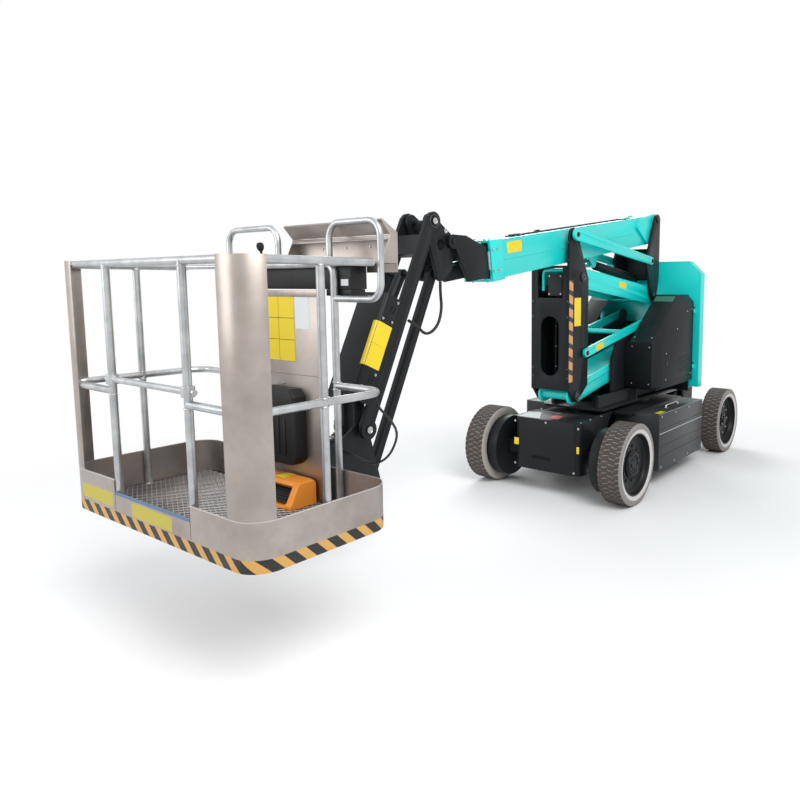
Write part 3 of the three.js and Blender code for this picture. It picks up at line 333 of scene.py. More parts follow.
def edge_stripes():
    """Slanted stripes down the column's edge, worn in places."""
    f = Finish("column_edge_stripes")
    x, y, z = f.axes()
    nx, _, _ = f.axes("Normal")
    front, stripe_pitch = abs(nx) > 0.7071, 0.1016
    run = front * y + (1.0 - front) * (x * -1.0)
    stripe = ((run * (0.35 / stripe_pitch) + z * (1.0 / stripe_pitch)) % 1.0) > 0.62
    wear = f.noise(26.0, 8.0, 0.75).band(0.60, 0.70)
    base = f.mix(stripe, (0.60, 0.29, 0.10), (0.011, 0.013, 0.015))
    f.give(Base_Color=f.mix(wear * 0.55, base, (0.34, 0.32, 0.29)), Roughness=wear * 0.25 + 0.38)
    return f.material


turquoise = paint("turquoise_gloss_paint", (0.002, 0.64, 0.60), 0.34, 0.06, coat=0.15)
charcoal = paint("charcoal_satin_paint", (0.0075, 0.0095, 0.0112), 0.42, 0.04, gloss=0.20)
rim_paint = paint("dark_rim_paint", (0.0055, 0.0065, 0.0072), 0.40, 0.05, gloss=0.20)
battery_paint = paint("grey_metallic_paint", (0.036, 0.039, 0.042), 0.36, 0.10, flake=0.3, gloss=0.35)
yellow = paint("yellow_plate", (0.80, 0.60, 0.010), 0.40, 0.05)
green_plate = paint("green_plate", (0.030, 0.17, 0.115), 0.42, 0.1)
# Near black: painted shade inside slots, holes, vents and grooves, and the dark of seams and gaps between
# panels.
shade_and_seam_black = paint("shade_and_seam_black", (0.003, 0.003, 0.0035), 0.6, 0.0, gloss=0.15)
white_plate = paint("pale_plate", (0.72, 0.76, 0.76), 0.40, 0.15)
# Pale grey for strips and a patch; on the deck's folds it is a painted highlight.
pale_strip_and_highlight_paint = paint("pale_strip_and_highlight_paint", (0.36, 0.41, 0.42), 0.38, 0.2)
red_paint = paint("red_paint", (0.62, 0.02, 0.015), 0.36, 0.15)
black_plastic = moulded("black_moulding", (0.007, 0.0075, 0.008), 0.50)
orange_plastic = moulded("orange_moulding", (0.80, 0.27, 0.030), 0.45)
grip_rubber = moulded("black_rubber", (0.018, 0.018, 0.018), 0.72)
hose_rubber = moulded("hose_rubber", (0.012, 0.012, 0.012), 0.55)
wear_pad = moulded("wear_pad", (0.60, 0.62, 0.60), 0.45)
floor_strand = metal("expanded_floor_strands", (0.52, 0.50, 0.49), 0.36)
chrome = metal("polished_rod", (0.78, 0.78, 0.78), 0.06)
zinc = metal("zinc_plated_steel", (0.56, 0.56, 0.55), 0.26)
bright_zinc = metal("bright_plate", (0.74, 0.74, 0.73), 0.22)
dark_bolt = metal("black_bolt", (0.10, 0.10, 0.105), 0.34)
galvanised = galvanised_steel()
sheet_up = upright_sheet()
rubber_tyre = tyre_rubber()
column_stripes = edge_stripes()
pan_finish = pan_sheet()

# ---------- shop tools: how pieces are made


def clear():
    bpy.ops.object.select_all(action="DESELECT")


def only(*pieces):
    clear()
    for piece in pieces:
        piece.select_set(True)
    bpy.context.view_layer.objects.active = pieces[0]


def settle():
    """Puts the active piece's place and turn in its mesh."""
    piece = bpy.context.object
    only(piece)
    bpy.ops.object.transform_apply(location=True, rotation=True, scale=True)
    return piece


def edit(piece, *steps):
    """Runs edit steps, each on the piece's whole mesh."""
    only(piece)
    bpy.ops.object.mode_set(mode="EDIT")
    for step in steps:
        bpy.ops.mesh.select_all(action="SELECT")
        step()
    bpy.ops.object.mode_set(mode="OBJECT")
    return piece


def faces_out():
    bpy.ops.mesh.normals_make_consistent(inside=False)


def modify(piece, kind, **settings):
    only(piece)
    made = piece.modifiers.new(kind.lower(), kind)
    for setting, value in settings.items():
        setattr(made, setting, value)
    bpy.ops.object.modifier_apply(modifier=made.name)
    return piece


def rounded_edges(piece, width, segments=2, angle=32):
    if not width:
        return piece
    return modify(piece, "BEVEL", width=width, segments=segments, limit_method="ANGLE",
                  angle_limit=math.radians(angle))


def smooth(piece, angle):
    only(piece)
    bpy.ops.object.shade_smooth_by_angle(angle=math.radians(angle))


def block(lo, hi, bevel, segments=2):
    """A box between two corners, its edges rounded."""
    clear()
    lo, hi = Vector(lo), Vector(hi)
    bpy.ops.mesh.primitive_cube_add(size=1, location=(lo + hi) / 2)
    bpy.context.object.scale = [abs(v) for v in hi - lo]
    return rounded_edges(settle(), bevel, segments)


def rod(start, end, radius, sides=24, bevel=0.0, tip=None):
    """A round bar from one point to another; tip is its end's own radius."""
    clear()
    run = Vector(end) - Vector(start)
    bpy.ops.mesh.primitive_cone_add(
        vertices=sides, radius1=radius, radius2=tip or radius, depth=run.length,
        location=(Vector(start) + Vector(end)) / 2, rotation=run.to_track_quat("Z", "Y").to_euler(),
    )
    return rounded_edges(settle(), bevel, 2, 50)


def ring(centre, axis, radius, thickness, sides, minor=8):
    clear()
    bpy.ops.mesh.primitive_torus_add(
        location=centre, rotation=Vector(axis).to_track_quat("Z", "Y").to_euler(),
        major_radius=radius, minor_radius=thickness, major_segments=sides, minor_segments=minor,
    )
    return settle()


def loop_on(points, fill):
    """A circle primitive, its vertices moved to an outline."""
    clear()
    bpy.ops.mesh.primitive_circle_add(vertices=len(points), radius=1, fill_type=fill)
    piece = bpy.context.object
    for vertex, point in zip(piece.data.vertices, points):
        vertex.co = point
    return piece


def extruded(points, push, bevel=0.0, segments=2):
    """A plate: an outline pushed along a vector."""
    pull = {"value": Vector(push)}
    piece = loop_on(points, "NGON")
    edit(piece, lambda: bpy.ops.mesh.extrude_region_move(TRANSFORM_OT_translate=pull), faces_out)
    return rounded_edges(piece, bevel, segments)


def turned(profile, centre, axis, steps):
    """A piece spun from [radius, place along the axis] points."""
    turn = Vector(axis).to_track_quat("Z", "Y").to_matrix()
    centre, spin_axis = Vector(centre), turn @ Vector((0, 0, 1))
    points = [centre + turn @ Vector((max(radius, 1e-5), 0, along)) for radius, along in profile]
    return edit(
        loop_on(points, "NOTHING"),
        lambda: bpy.ops.mesh.spin(steps=steps, angle=2 * math.pi, center=centre, axis=spin_axis),
        lambda: bpy.ops.mesh.remove_doubles(threshold=2e-5), faces_out,
    )


def tube(points, radius, sides=16):
    """A round tube along points, from a curve turned into a mesh with closed ends."""
    curve = bpy.data.curves.new("route", "CURVE")
    curve.dimensions = "3D"
    curve.bevel_depth = radius
    curve.bevel_resolution = max(sides // 4 - 1, 1)
    curve.use_fill_caps = True
    line = curve.splines.new("POLY")
    line.points.add(len(points) - 1)
    for knot, point in zip(line.points, points):
        knot.co = (*point, 1)
    piece = bpy.data.objects.new("route", curve)
    bpy.context.collection.objects.link(piece)
    only(piece)
    bpy.ops.object.convert(target="MESH")
    return edit(bpy.context.object, lambda: bpy.ops.mesh.remove_doubles(threshold=1e-6), faces_out)


def bent(corners, radius, steps):
    """Corner points with an arc in place of each inner corner."""
    points = [Vector(c) for c in corners]
    out = [points[0]]
    for before, here, after in zip(points, points[1:], points[2:]):
        back, on = (before - here).normalized(), (after - here).normalized()
        half = back.angle(on) / 2
        reach = radius / math.tan(half)
        centre = here + (back + on).normalized() * (radius / math.sin(half))
        start, end = here + back * reach - centre, here + on * reach - centre
        out += [centre + start.lerp(end, k / steps).normalized() * radius for k in range(steps + 1)]
    return out + [points[-1]]


def keep(pieces, name, body, finish, angle=35, stands_for=None):
    """Joins pieces under one name, gives them their finish, and makes them ride on their body."""
    only(*pieces)
    if len(pieces) > 1:
        bpy.ops.object.join()
    piece = bpy.context.object
    smooth(piece, angle)
    piece.name = name
    piece.data.name = name
    piece.data.materials.clear()
    piece.data.materials.append(finish)
    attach(piece, body)
    if stands_for:
        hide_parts(stands_for)


def refined(node, body, finish, width):
    """The CAD solid of a node with its facets joined and its edges rounded, shown in its place."""
    source = frame["nodes"][node]
    piece = source.copy()
    piece.data = source.data.copy()
    piece.parent = None
    bpy.context.collection.objects.link(piece)
    edit(
        piece, lambda: bpy.ops.mesh.remove_doubles(threshold=1e-5),
        lambda: bpy.ops.mesh.dissolve_limited(angle_limit=math.radians(0.5)),
    )
    if "custom_normal" in piece.data.attributes:
        piece.data.attributes.remove(piece.data.attributes["custom_normal"])
    keep([rounded_edges(piece, width)], node + "_shown", body, finish, stands_for=node)


# ---------- cords


def eased(corners, rounds=2):
    """Corner points cut to a smooth run; the two ends stay."""
    points = [at(*c) for c in corners]
    for _ in range(rounds):
        cut = [points[0]]
        for here, after in zip(points, points[1:]):
            cut += [here.lerp(after, 0.25), here.lerp(after, 0.75)]
        points = cut + [points[-1]]
    return points


def free_cord(node, corners, radius):
    """A hose or cable that crosses a joint: its route and its real length."""
    route = eased(corners)
    length = sum((after - here).length for here, after in zip(route, route[1:]))
    piece = tube(route, radius, 20)
    smooth(piece, 60)
    piece.name = node + "_shown"
    piece.data.name = piece.name
    piece.data.materials.append(hose_rubber)
    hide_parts(node)
    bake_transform(piece)


free_cord("upper_hose", [
    (2508, 72, 1669.6), (2508, 72, 1600), (2500, 76, 1500), (2550, 82, 1395), (2660, 89, 1352),
    (2749.4, 100, 1415.3), (2817.1, 100, 1447.6),
], 0.009)
free_cord("platform_cable", [
    (3602.05, 655, 1177.9), (3602.05, 655, 1130), (3500, 635, 1050), (3375, 560, 950), (3300, 430, 820),
    (3245, 300, 745), (3225, 200, 715), (3290, 125, 775), (3290, 55.4, 775),
], 0.006)

# ---------- CAD nodes shown with rounded edges

slot_finish = {
    "turquoise_paint": turquoise, "charcoal_paint": charcoal, "hood_plastic": charcoal,
    "black_plastic": black_plastic, "battery_steel": battery_paint, "sheet": sheet_up,
    "galvanised": galvanised, "chromed": chrome, "plated": zinc,
}  # the slots that aren't here belong to nodes that are made anew
remade = ("platform_rails", "document_box", "drop_bar")
edge_width = {
    "platform_floor": 0.0, "jib_cover": 0.0012, "hood_left": 0.004, "hood_right": 0.004,
    "counterweight": 0.012,
}
node_slot = {part["node"]: part["material_slot"] for part in frame["record"]["subparts"]}
for body, nodes in frame["record"]["behaviour"]["bodies"].items():
    for node in nodes:
        slot = node_slot[node]
        if slot in slot_finish and node not in remade:
            finish = pan_finish if node == "platform_floor" else slot_finish[slot]
            refined(node, body, finish, edge_width.get(node, 0.0025))

# ---------- wheels


def circle(count, radius):
    """Points spread round a circle, the first half a step on."""
    turns = [2 * math.pi * (k + 0.5) / count for k in range(count)]
    return [(radius * math.cos(turn), radius * math.sin(turn)) for turn in turns]


def tread(tyre, centre, crown, deep=0.0065, count=46):
    """Cuts wavy cross grooves round the tyre's crown."""
    for vertex in tyre.data.vertices:
        dx, dy, dz = vertex.co - centre
        radius = math.hypot(dx, dz)
        if radius < crown - 0.004 or abs(dy) > 0.0835:
            continue
        turn = math.atan2(dz, dx) / (2 * math.pi) * count
        wave = 0.32 * math.sin(dy * 62.0) + 0.10 * math.sin(dy * 190.0 + 1.0)
        notch = 1.0 - min(abs(((turn + wave) % 1.0) - 0.5) / 0.15, 1.0)
        share = (radius - deep * (notch * notch * (3 - 2 * notch))) / radius
        vertex.co = centre + Vector((dx * share, dy, dz * share))


def wheel_bolts(centre, out, count, radius, seat, size):
    made = []
    for x, z in circle(count, radius):
        spot = centre + Vector((x, out * seat, z))
        made.append(rod(spot, spot + Vector((0, out * size * 0.25, 0)), size * 1.15, 20))
        made.append(rod(spot, spot + Vector((0, out * size * 1.15, 0)), size, 6, 0.0008))
    return made


def wheel(end, side):
    """A solid tyre, its dished rim with a hub, and the bolts; a front wheel is driven and has a drive hub."""
    driven = end == "front"
    place = f"{end}_{side_name[side]}"
    body = f"wheel_{place}"
    lo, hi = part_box(f"tyre_{place}")
    centre = (Vector(lo) + Vector(hi)) / 2
    half, crown = (hi[1] - lo[1]) / 2, (hi[2] - lo[2]) / 2
    axis = (0, side, 0)
    shoulder = [(0.2355, half - 0.010), (0.262, half - 0.003), (0.286, half - 0.001), (0.300, half - 0.006)]
    across = [(crown - 0.0008, -0.083 + 0.0083 * k) for k in range(21)]
    profile = [(radius, -along) for radius, along in shoulder] + across + shoulder[::-1]
    tyre = turned(profile, centre, axis, 368)
    tread(tyre, centre, crown)
    keep([tyre], f"{body}_tyre", body, rubber_tyre, 30, f"tyre_{place}")

    disc = 0.036 if driven else 0.030
    dish = [
        (0, disc - 0.012), (0.205, disc - 0.012), (0.214, -half + 0.022), (0.222, -half + 0.012),
        (0.2345, -half + 0.010), (0.2345, half - 0.011), (0.231, half - 0.008), (0.226, half - 0.010),
        (0.2235, half - 0.020), (0.219, disc + 0.018), (0.213, disc + 0.008), (0.202, disc + 0.002),
        (0.150, disc), (0.146, disc - 0.003), (0.120, disc - 0.003), (0.116, disc), (0, disc),
    ]
    drive_hub = (
        (0, -0.004), (0.104, -0.004), (0.104, 0.012), (0.098, 0.018), (0.092, 0.020), (0.088, 0.027),
        (0.070, 0.029), (0.066, 0.022), (0.040, 0.022), (0.036, 0.028), (0, 0.028),
    )
    plain_hub = (
        (0, -0.004), (0.062, -0.004), (0.062, 0.006), (0.056, 0.012), (0.040, 0.014), (0.037, 0.026),
        (0.031, 0.031), (0, 0.0315),
    )
    hub = [(radius, disc + along) for radius, along in (drive_hub if driven else plain_hub)]
    rim = [rounded_edges(turned(dish, centre, axis, 72), 0.0012, 1, 25), turned(hub, centre, axis, 56)]
    keep(rim, f"{body}_rim", body, rim_paint, 28, f"rim_{place}")
    inner = (8, 0.053, disc + 0.020) if driven else (5, 0.048, disc + 0.011)
    bolts_on = wheel_bolts(centre, side, 9, 0.133, disc - 0.004, 0.010)
    bolts_on += wheel_bolts(centre, side, *inner, 0.0065)
    keep(bolts_on, f"{body}_bolts", body, dark_bolt if driven else zinc, 30)


for side in both:
    wheel("front", side)
    wheel("rear", side)

# ---------- small parts used in many places


def bolts(places, out, size):
    """Hex heads on their washers, at places given in millimetres."""
    made, out = [], Vector(out).normalized()
    for place in places:
        spot = at(*place)
        made.append(rod(spot - out * 0.001, spot + out * (size * 0.25), size * 1.25, 20))
        made.append(rod(spot, spot + out * (size * 0.95), size * 0.92, 6, size * 0.08))
    return made


def pin_end(place, side, radius, height=0.010):
    """A turned pin's end, given on the left side: a collar, a flat face and a centre bore."""
    x, y, z = place
    steps = ((1, 0.55), (0.88, 0.75), (0.80, 0.45), (0.62, 0.45), (0.56, 1), (0.24, 1), (0.20, 0.4), (0, 0.4))
    profile = [(0, -0.001), (radius, -0.001)] + [(radius * r, height * h) for r, h in steps]
    return turned(profile, at(x, side * y, z), (0, side, 0), 32)


def pin_ring(place, side, radius=0.024, thickness=0.003, sides=36):
    """The weld ring round a pin, given on the left side."""
    x, y, z = place
    return ring(at(x, side * y, z), (0, 1, 0), radius, thickness, sides)


def rect(a0, b0, a1, b1):
    return [(a0, b0), (a1, b0), (a1, b1), (a0, b1)]


def plate_at(corners, push, bevel=0.0004):
    """A thin plate on points given in millimetres, pushed out by a vector."""
    return extruded([at(*c) for c in corners], push, bevel, 1)


def side_plate(corners, y, thick):
    """A plate that lies on a face square to Y, its corners given as [x, z]."""
    return plate_at([(x, y, z) for x, z in corners], (0, math.copysign(thick / 1000, y), 0))


def front_plate(corners, x, thick=1.0):
    """A plate that lies on a face square to X, its corners given as [y, z]."""
    return plate_at([(x, y, z) for y, z in corners], (thick / 1000, 0, 0))


def top_plate(corners, z, thick=1.0):
    """A plate that lies on a level face, its corners given as [x, y]."""
    return plate_at([(x, y, z) for x, y in corners], (0, 0, thick / 1000))


def in_frame(origin, slope):
    """Points along a beam that runs down to the front by slope degrees, in millimetres."""
    c, s = math.cos(math.radians(slope)), math.sin(math.radians(slope))
    return lambda x, y, z: (origin[0] + x * c + z * s, y, origin[1] - x * s + z * c)


def along_arm(rear, front):
    """Points beside a straight arm: distance from its rear pin, sideways, square to it. And its length."""
    (x0, z0), (x1, z1) = rear, front
    run = math.hypot(x1 - x0, z1 - z0)
    ux, uz = (x1 - x0) / run, (z1 - z0) / run
    return (lambda d, y, up: (x0 + ux * d - uz * up, y, z0 + uz * d + ux * up)), run


def line_on(beam_at, start, end, y, z, radius, sides=8):
    """A straight tube along a beam: a weld bead, a fold or a line."""
    return tube([at(*beam_at(start, y, z)), at(*beam_at(end, y, z))], radius, sides)


boom_at = in_frame((-460, 2240), 8)
jib_at = in_frame((2600, 2020), 64.5)
upper_at, upper_run = along_arm((-410, 1541), (945, 1705))
link_at, link_run = along_arm((-450, 1361), (920, 1111))

# ---------- platform tubes

tube_r = 0.01675
rail_x, rear_x, rail_y, rail_z = 4264.95, 3602.05, 709.95, 1745.25
foot, mid, guard_top, post_x = 625.3, 1195, 1925, 3930
gate_y = {1: 320, -1: -290}
bar_z = mid + 50


def rail(corners, bend, radius=tube_r):
    points = [at(*c) for c in corners]
    return tube(bent(points, bend / 1000, 10) if bend else points, radius, 20)


rails = [
    rail([(3660, -rail_y, rail_z), (rail_x, -rail_y, rail_z), (rail_x, rail_y, rail_z),
          (3660, rail_y, rail_z)], 96),
    rail([(rear_x, -400, foot), (rear_x, -400, rail_z), (rear_x, 400, rail_z), (rear_x, 400, foot)], 50),
    rail([(rear_x, 400, 1590), (rear_x, 700, 1590), (rear_x, 700, guard_top), (rear_x, 375, guard_top),
          (rear_x, 375, rail_z)], 70, 0.015),
    rail([(rear_x, -400, rail_z - 8), (rear_x, -400, guard_top), (rear_x, 5, guard_top), (rear_x, 5, rail_z)],
         70, 0.015),
]
welds = []
for side in both:
    gate, y, post_y = gate_y[side], side * rail_y, side * 400
    rails += [
        rail([(rail_x, gate, mid), (rail_x, y, mid), (rear_x, y, mid), (rear_x, post_y, mid)], 96),
        rail([(rail_x, gate, foot), (rail_x, gate, rail_z)], 0),
        rail([(post_x, y, foot), (post_x, y, rail_z)], 0),
        rail([(3675, y, rail_z), (rear_x + 4, side * 360, rail_z)], 0, 0.012),
    ]
    for x, weld_y, z in (
        (rail_x, gate, rail_z - 17), (post_x, y, rail_z - 17), (post_x, y, mid - 17), (post_x, y, mid + 17),
        (rail_x, gate, mid - 17), (rear_x, post_y, mid - 17), (rear_x, post_y, mid + 17),
    ):
        welds.append(ring(at(x, weld_y, z), (0, 0, 1), tube_r + 0.0006, 0.0028, 28))
    for x, weld_y in ((rail_x, gate), (post_x, y), (rear_x, post_y)):
        welds.append(ring(at(x, weld_y, foot + 1.5), (0, 0, 1), tube_r + 0.0008, 0.003, 28))
    welds.append(ring(at(3661, y, rail_z), (1, 0, 0), tube_r - 0.004, 0.0042, 28))
keep(rails, "rail_tubes", "platform", galvanised, 45, "platform_rails")
keep(welds, "rail_welds", "platform", zinc, 60)

collar = [(0.0176, -0.020), (0.0262, -0.020), (0.0266, -0.017), (0.0266, 0.017), (0.0262, 0.020),
          (0.0176, 0.020)]
bar, stops = [rail([(rail_x, -264, bar_z), (rail_x, 294, bar_z)], 0, 0.014)], []
for out, y in gate_y.items():
    bar += [
        turned(collar, at(rail_x, y, bar_z), (0, 0, 1), 40),
        ring(at(rail_x, y, mid + 70), (0, 0, 1), 0.0212, 0.0028, 32),
        ring(at(rail_x, y - out * 27, bar_z), (0, 1, 0), 0.0136, 0.003, 28),
    ]
    stem = at(rail_x, y + out * 27, bar_z)
    knob = stem + Vector((0, out * 0.014, 0))
    knob_end = knob + Vector((0, out * 0.010, 0))
    stops += [rod(stem, knob, 0.009, 20, 0.001), rod(knob, knob_end, 0.012, 24, 0.002)]
keep(bar, "drop_bar_tube", "drop_bar", galvanised, 45, "drop_bar")
keep(stops, "drop_bar_knobs", "drop_bar", zinc, 40)

# ---------- the floor's expanded sheet and the pan

cell = 24.0
pan_rear, pan_front, pan_side, pan_corner = 3586, 4281, 726, 112  # the pan's inner outline


def strand(first, step):
    """One zigzag strand across the platform, its turns leaning forward or back by step."""
    points = [at(first + (step if k % 2 else 0), -708 + k * cell, 627) for k in range(int(1420 / cell) + 1)]
    return tube(points, 0.0021, 4)


pair = [strand(3607.0, cell / 2), strand(3607.0 + cell, -cell / 2)]
only(*pair)
bpy.ops.object.join()
modify(pair[0], "ARRAY", count=27, use_relative_offset=False, use_constant_offset=True,
       constant_offset_displace=(cell / 1000, 0, 0))
for vertex in pair[0].data.vertices:
    x = (vertex.co.x - shift_x) * 1000
    past = max(x - (pan_front - pan_corner), (pan_rear + pan_corner) - x, 0)
    room = (pan_side - pan_corner + math.sqrt(max(pan_corner**2 - past**2, 0))) / 1000
    vertex.co.y = max(-room, min(room, vertex.co.y))
keep(pair[:1], "floor_expanded_sheet", "platform", floor_strand, 30)
pan_face = 4285.9
seams = [front_plate(rect(y - 1, 662, y + 1, 796), pan_face, 0.6) for y in (-292, 322)]
keep(seams, "pan_seams", "platform", shade_and_seam_black)

# ---------- rear panel, document box, foot switch

panel_x = 3622.05
keep([front_plate(rect(-104, 1289, 134, 1600), panel_x, 0.6)], "panel_chart_backing", "platform",
     shade_and_seam_black)
cards = []
for column in range(2):
    for row in range(3):
        y, z = -103 + column * 119.5, 1290 + row * 103.3
        cards.append(front_plate(rect(y, z, y + 117, z + 101), panel_x, 1.2))
keep(cards, "panel_charts", "platform", yellow)
keep([front_plate(rect(142, 1447, 245, 1600), panel_x, 1.2)], "panel_pale_plate", "platform", white_plate)
folds = [
    rod(at(panel_x, -254, 1231), at(panel_x, 329, 1231), 0.0035, 12),
    block(at(panel_x - 2, 322, 626), at(panel_x + 14, 330, 1627), 0.0015),
    block(at(panel_x - 2, -255, 626), at(panel_x + 14, -247, 1627), 0.0015),
    block(at(panel_x - 1, -250, 1596), at(panel_x + 2.4, 325, 1627), 0.0008),
]
keep(folds, "panel_folds", "platform", sheet_up, 30)
places = [(panel_x, y, z) for y in (-238, 40, 312) for z in (1612, 1180, 650)]
keep(bolts(places, (1, 0, 0), 0.0055), "panel_bolts", "platform", zinc, 30)

lo, hi = (Vector(corner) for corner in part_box("document_box"))
cut, lid_x, lid_low, middle = 0.034, hi.x - 0.012, hi.z - 0.105, (lo.y + hi.y) / 2
near, far = lo.y + cut, hi.y - cut
shell = extruded([(lo.x, y, z) for y, z in (
    (near, lo.z), (far, lo.z), (hi.y, lo.z + cut), (hi.y, hi.z - cut),
    (far, hi.z), (near, hi.z), (lo.y, hi.z - cut), (lo.y, lo.z + cut),
)], (hi.x - lo.x - 0.006, 0, 0), 0.006, 3)
lid = extruded([(lid_x, y, z) for y, z in (
    (lo.y + 0.006, lid_low), (hi.y - 0.006, lid_low), (hi.y - 0.006, hi.z - cut),
    (far, hi.z - 0.006), (near, hi.z - 0.006), (lo.y + 0.006, hi.z - cut),
)], (0.0118, 0, 0), 0.003, 2)
catch_low = (hi.x - 0.004, middle - 0.020, lid_low - 0.018)
catch = block(catch_low, (hi.x, middle + 0.020, lid_low + 0.022), 0.0015)
ribs = []
for k in range(4):
    y = lo.y + 0.050 + 0.048 * k
    ribs.append(block((hi.x - 0.010, y, lo.z + 0.045), (hi.x - 0.0005, y + 0.012, lid_low - 0.03), 0.003))
keep([shell, lid, catch] + ribs, "manual_box", "platform", black_plastic, 30, "document_box")


def wide(outline, y, width, bevel, segments):
    """A piece of one side outline, so many metres wide."""
    return extruded([(x, y, z) for x, z in outline], (0, width, 0), bevel, segments)


lo, hi = (Vector(corner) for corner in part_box("foot_switch"))
wall, long = 0.03, hi.y - lo.y
cheek = [
    (lo.x, lo.z), (hi.x, lo.z), (hi.x, lo.z + 0.022), (hi.x - 0.012, lo.z + 0.030),
    (hi.x - 0.052, hi.z - 0.012), (hi.x - 0.062, hi.z), (lo.x + 0.012, hi.z), (lo.x, hi.z - 0.016),
]
roof = [
    (lo.x + 0.001, hi.z - 0.026), (lo.x + 0.001, hi.z - 0.002), (hi.x - 0.060, hi.z - 0.002),
    (hi.x - 0.050, hi.z - 0.018), (hi.x - 0.056, hi.z - 0.026),
]
housing = [
    wide(cheek, lo.y, 0.042, 0.006, 3), wide(cheek, hi.y - 0.042, 0.042, 0.006, 3),
    wide(roof, lo.y + wall, long - 2 * wall, 0.003, 2),
    block((lo.x + 0.001, lo.y + wall, lo.z + 0.001), (lo.x + 0.052, hi.y - wall, hi.z - 0.01), 0.003),
    block((lo.x + 0.002, lo.y + wall, lo.z + 0.0005), (hi.x - 0.002, hi.y - wall, lo.z + 0.014), 0.003),
]
keep(housing, "foot_switch_housing", "platform", orange_plastic, 30, "foot_switch")
pedal = [wide([
    (lo.x + 0.055, lo.z + 0.058), (hi.x - 0.020, lo.z + 0.024), (hi.x - 0.018, lo.z + 0.032),
    (lo.x + 0.055, lo.z + 0.068),
], lo.y + 0.052, long - 0.104, 0.003, 2)]
for k in range(4):
    x, z = lo.x + 0.070 + 0.018 * k, lo.z + 0.058 - 0.0062 * k
    pedal.append(block((x, lo.y + 0.060, z), (x + 0.008, hi.y - 0.060, z + 0.0075), 0.001))
keep(pedal, "foot_switch_pedal", "platform", grip_rubber, 30)
keep([top_plate(rect(3637, 60, 3712, 130), 743.0, 0.6)], "foot_switch_plate", "platform", yellow)

# ---------- console and platform mount

front, desk_z = 3585.0, 1745
parts = [
    block(at(front - 3, -300, 1640), at(front + 0.5, 470, 1736), 0.002),
    block(at(3487, -318, 1740), at(front - 2, 488, 1746), 0.002),
]
for y in (-240, -80, 80, 240, 400):
    parts.append(block(at(front - 1, y - 1.5, 1641), at(front + 1.0, y + 1.5, 1735), 0.0004))
parts += bolts([(front, y, 1739) for y in (-310, -205, -100, 5, 110, 215, 320, 425, 482)], (1, 0, 0), 0.004)
keep(parts, "console_trim", "platform", black_plastic, 30)
keep([front_plate(rect(428, 1648, 477, 1677), front + 0.6)], "console_pale_plate", "platform", white_plate)
boot = [
    (0, 0), (0.034, 0), (0.034, 0.004), (0.026, 0.010), (0.029, 0.016), (0.021, 0.022), (0.023, 0.028),
    (0.014, 0.036), (0, 0.037),
]
grip = [(0, 0), (0.010, 0), (0.017, 0.012), (0.019, 0.026), (0.014, 0.040), (0, 0.044)]
nut = [(0, 0), (0.011, 0), (0.011, 0.004), (0.006, 0.007), (0, 0.007)]
button = [
    (0, 0), (0.020, 0), (0.020, 0.006), (0.013, 0.010), (0.013, 0.018), (0.021, 0.022), (0.021, 0.030),
    (0.012, 0.036), (0, 0.037),
]
controls = [
    turned(boot, at(3538, -215, desk_z), (0, 0, 1), 28),
    rod(at(3538, -215, 1780), at(3546, -215, 1828), 0.0065, 16),
    turned(grip, at(3545, -215, 1822), (0.15, 0, 1), 24),
]
for y in (-130, -95, -60):
    spot = at(3520, y, desk_z)
    controls.append(turned(nut, spot, (0, 0, 1), 20))
    controls.append(rod(spot, spot + Vector((0.006, 0, 0.026)), 0.0032, 12, 0, 0.0048))
keep(controls, "console_joystick", "platform", grip_rubber)
keep([turned(button, at(3560, -80, desk_z), (0, 0, 1), 32)], "console_stop_button", "platform", red_paint)
keep([turned([(0, 0), (0.030, 0), (0.030, 0.0045), (0, 0.0045)], at(3560, -80, 1744.5), (0, 0, 1), 32)],
     "console_stop_ring", "platform", yellow)
hood_trim = [rod(at(3534, 27, 1866), at(3534, 688, 1866), 0.0022, 10)]
hood_trim += bolts([(3492.9, y, 1820) for y in (40, 200, 360, 520, 675)], (1, 0, 0), 0.0045)
keep(hood_trim, "console_hood_seam", "platform", zinc, 30)
mount = bolts([(3510, y, z) for y in (-95, 95) for z in (640, 700, 760)], (-1, 0, 0), 0.009)
mount += bolts([(3360 + x, y, 854) for x, y in circle(6, 44)], (0, 0, 1), 0.006)
keep(mount, "mount_bolts", "platform", zinc, 30)

# ---------- tower: column, arms, links, upright

cheek_y = 170.0  # the column's outer faces
for side in both:
    name = side_name[side]
    keep([side_plate(rect(1088, 897, 1146.5, 1680), side * cheek_y, 0.8)], f"column_stripes_{name}", "column",
         column_stripes)
    keep([side_plate(rect(968, 1327, 1068, 1545), side * cheek_y, 1.0)], f"column_plate_{name}", "column",
         yellow)
    ends = [
        pin_end((945, 176.5, 1705), side, 0.034), pin_end((1030, 179.5, 780), side, 0.037),
        pin_end((1083, 208, 2022), side, 0.017, 0.007), pin_end((920, 208, 1111), side, 0.017, 0.007),
    ]
    ends += bolts([(x, side * cheek_y, z) for x, z in ((1003, 1660), (1120, 860), (880, 905))],
                  (0, side, 0), 0.0065)
    keep(ends, f"column_pins_{name}", "column", dark_bolt, 30)
    # A dark disc stands for a hole in the column's cheek: painted shade inside it.
    hole = [(0, 0), (0.0165, 0), (0.0165, 0.0012), (0, 0.0012)]
    keep([turned(hole, at(1085, side * 169.6, 1712), (0, side, 0), 32)], f"column_hole_{name}", "column",
         shade_and_seam_black, 30)
    keep([pin_end((-460, 175.5, 2240), side, 0.030), pin_end((-410, 169.5, 1541), side, 0.034)],
         f"upright_pins_{name}", "rear_upright", dark_bolt, 30)
    rings = [pin_ring((1083, 205, 2022), side), pin_ring((1083 - 1355, 205, 2022 - 164), side)]
    keep(rings, f"upper_link_rings_{name}", f"upper_link_{name}", zinc, 40)

